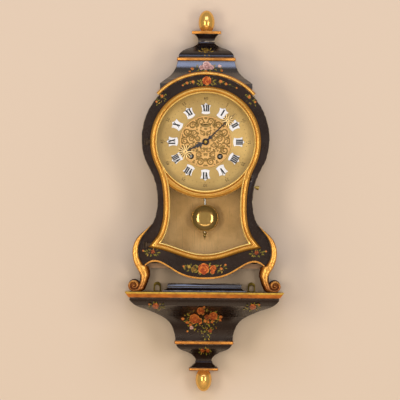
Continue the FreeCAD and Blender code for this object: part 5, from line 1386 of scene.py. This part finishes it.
spray.buds((-33, -45, 4.2, 175), (25, -43, 4.4, 10), (-26.5, -65, 2.8, 220),
           (0, -28, 3.6, 85, "rust"))
for side in (-1, 1):
    spray.stem(((68, -28), (79, -25), (93, -20)), 0.8, side=side)
    spray.fringe(side * 80, -24, 11, 4.0, 12)
    spray.rose(side * 81.5, -23.8, 5.2)
    spray.leaves(((88, -21, 5, 30), (74, -25, 5, 200), (84, -19.5, 4, 80), (77, -28.5, 4.2, 250),
                  (91, -23.5, 4.4, -20), (69, -27.5, 4, 190)), side)
    spray.bud(side * 90, -21.5, 3.0, 90 - side * 65, "rust")
spray.finish()

spray = Spray("bellSpray", "bracket_bell", "bracket")
spray.stem(((-7, -103), (-2, -100), (3, -99), (8, -98)), 0.8)
spray.leaves(((-6, -102, 4, 200), (-3, -98, 4, 120), (5, -98, 4, 60), (3, -104, 4, -70),
              (9, -99, 3.6, 0)))
spray.fringe(2, -100, 9, 4, 10)
spray.roses((-2.4, -99.4, 3.6), (6.4, -99.4, 3.4))
spray.finish()
print("flowers painted")

# finishes on the CAD nodes that stay in view, by slot unless a node has its own
nodeFinish = {
    "black_lacquer": softLacquer, "brown_wood": boardWood, "gilt_wood": giltWood,
    "polished_gilt": polishedGilt, "brass": brass, "dial_brass": dialBrass,
    "chased_gilt": chasedGround, "enamel": enamel, "blued_steel": bluedSteel, "steel": steel,
    "bell_metal": bellMetal, "clear_glass": glass}
ownFinish = {
    "window_sheet": sheetBrass, "shelf_board": brownWood, "case_bottom": underWood,
    "pendulum_rod": steel, "hanging_eye_screws": oldBrass, "hinge_brackets": darkBronze,
    "door_fittings": darkBronze, "movement_front_plate": darkPlate}
slotOf = {part["node"]: part["material_slot"] for part in frame["record"]["subparts"]}
for nodeName, thing in nodes.items():
    thing.data.materials.clear()
    painted(thing, ownFinish.get(nodeName, nodeFinish[slotOf[nodeName]]))

# plain wall and floor, seen from the front only, so that the back of the clock shows and gets light
stageFinish = bpy.data.materials.new("stageWall")
stageFinish.use_nodes = True
tree = stageFinish.node_tree
shader = tree.nodes["Principled BSDF"]
feed(tree, shader, {"Base Color": rgb("dac6ae"), "Roughness": 0.9})
rays = node(tree, "LightPath", {}).outputs
behind = node(tree, "NewGeometry", {}).outputs["Backfacing"]
seen = node(tree, "Math", {0: rays["Is Camera Ray"], 1: rays["Is Glossy Ray"]}, operation="ADD")
shown = node(tree, "Math", {0: seen.outputs[0], 1: behind}, operation="SUBTRACT", use_clamp=True)
clear = node(tree, "BsdfTransparent", {})
blend = node(tree, "MixShader", {0: shown.outputs[0], 1: clear.outputs[0], 2: shader.outputs[0]})
feed(tree, tree.nodes["Material Output"], {"Surface": blend.outputs[0]})
room = {"size": 6, "wall": (0, 0.004, 0), "floor": (0, -2.9, -1.2)}
bpy.ops.mesh.primitive_plane_add(size=room["size"], location=room["wall"],
                                 rotation=(math.pi / 2, 0, 0))
wall = painted(named("stageWall"), stageFinish)
bpy.ops.mesh.primitive_plane_add(size=room["size"], location=room["floor"])
floor = painted(named("stageFloor"), stageFinish)

world = bpy.data.worlds.new("softRoom")
bpy.context.scene.world = world
world.use_nodes = True
tree = world.node_tree
fromCamera = node(tree, "LightPath", {}).outputs["Is Camera Ray"]
feed(tree, tree.nodes["Background"], {
    "Color": rgb("f4ece2"), "Strength": mapRange(tree, fromCamera, toLow=0.39, toHigh=0.8)})


def areaLight(name, place, aim, size, power, tone):
    bpy.ops.object.light_add(type="AREA", location=place)
    lamp = bpy.context.object
    lamp.name = name
    lamp.data.shape = "RECTANGLE"
    lamp.data.size, lamp.data.size_y = size
    lamp.data.energy = power
    lamp.data.color = rgb(tone)[:3]
    lamp.rotation_euler = (Vector(aim) - Vector(place)).to_track_quat("-Z", "Y").to_euler()


areaLight("keyLight", (-1.4, -3.1, 0.1), (0, -0.1, 0.1), (0.75, 1.5), 27, "fff2e2")
areaLight("sideLight", (1.45, -3.1, 0.06), (0, -0.1, 0.1), (0.75, 1.5), 25, "fff6ec")
areaLight("skyLight", (0.0, -2.8, 2.0), (0, -0.1, 0.25), (2.6, 1.3), 40, "c4d4ff")
areaLight("lowLight", (0.0, -3.0, -1.25), (0, -0.1, 0.05), (1.8, 0.5), 9, "fff2e2")
# reaches the wall under the case and leaves no mirror image on the lacquer
areaLight("fillLight", (0.0, -3.2, 0.08), (0, -0.1, 0.08), (1.2, 0.36), 19, "fff0dc")
bpy.context.object.visible_glossy = False

view = {"distance": 12.0, "height": 140.0, "aim": 155.0, "span": 673.0, "sensor": 36.0,
        "roll": -0.49, "across": -8.5}
bpy.ops.object.camera_add(
    location=spot(view["across"], frontDepth + view["distance"] / mm, view["height"]),
    rotation=(math.pi / 2, math.radians(view["roll"]), 0))
camera = bpy.context.object
camera.data.sensor_width = view["sensor"]
camera.data.lens = view["sensor"] * view["distance"] / (view["span"] * mm)
camera.data.shift_y = (view["aim"] - view["height"]) / view["span"]
bpy.context.scene.camera = camera
print("stage set")
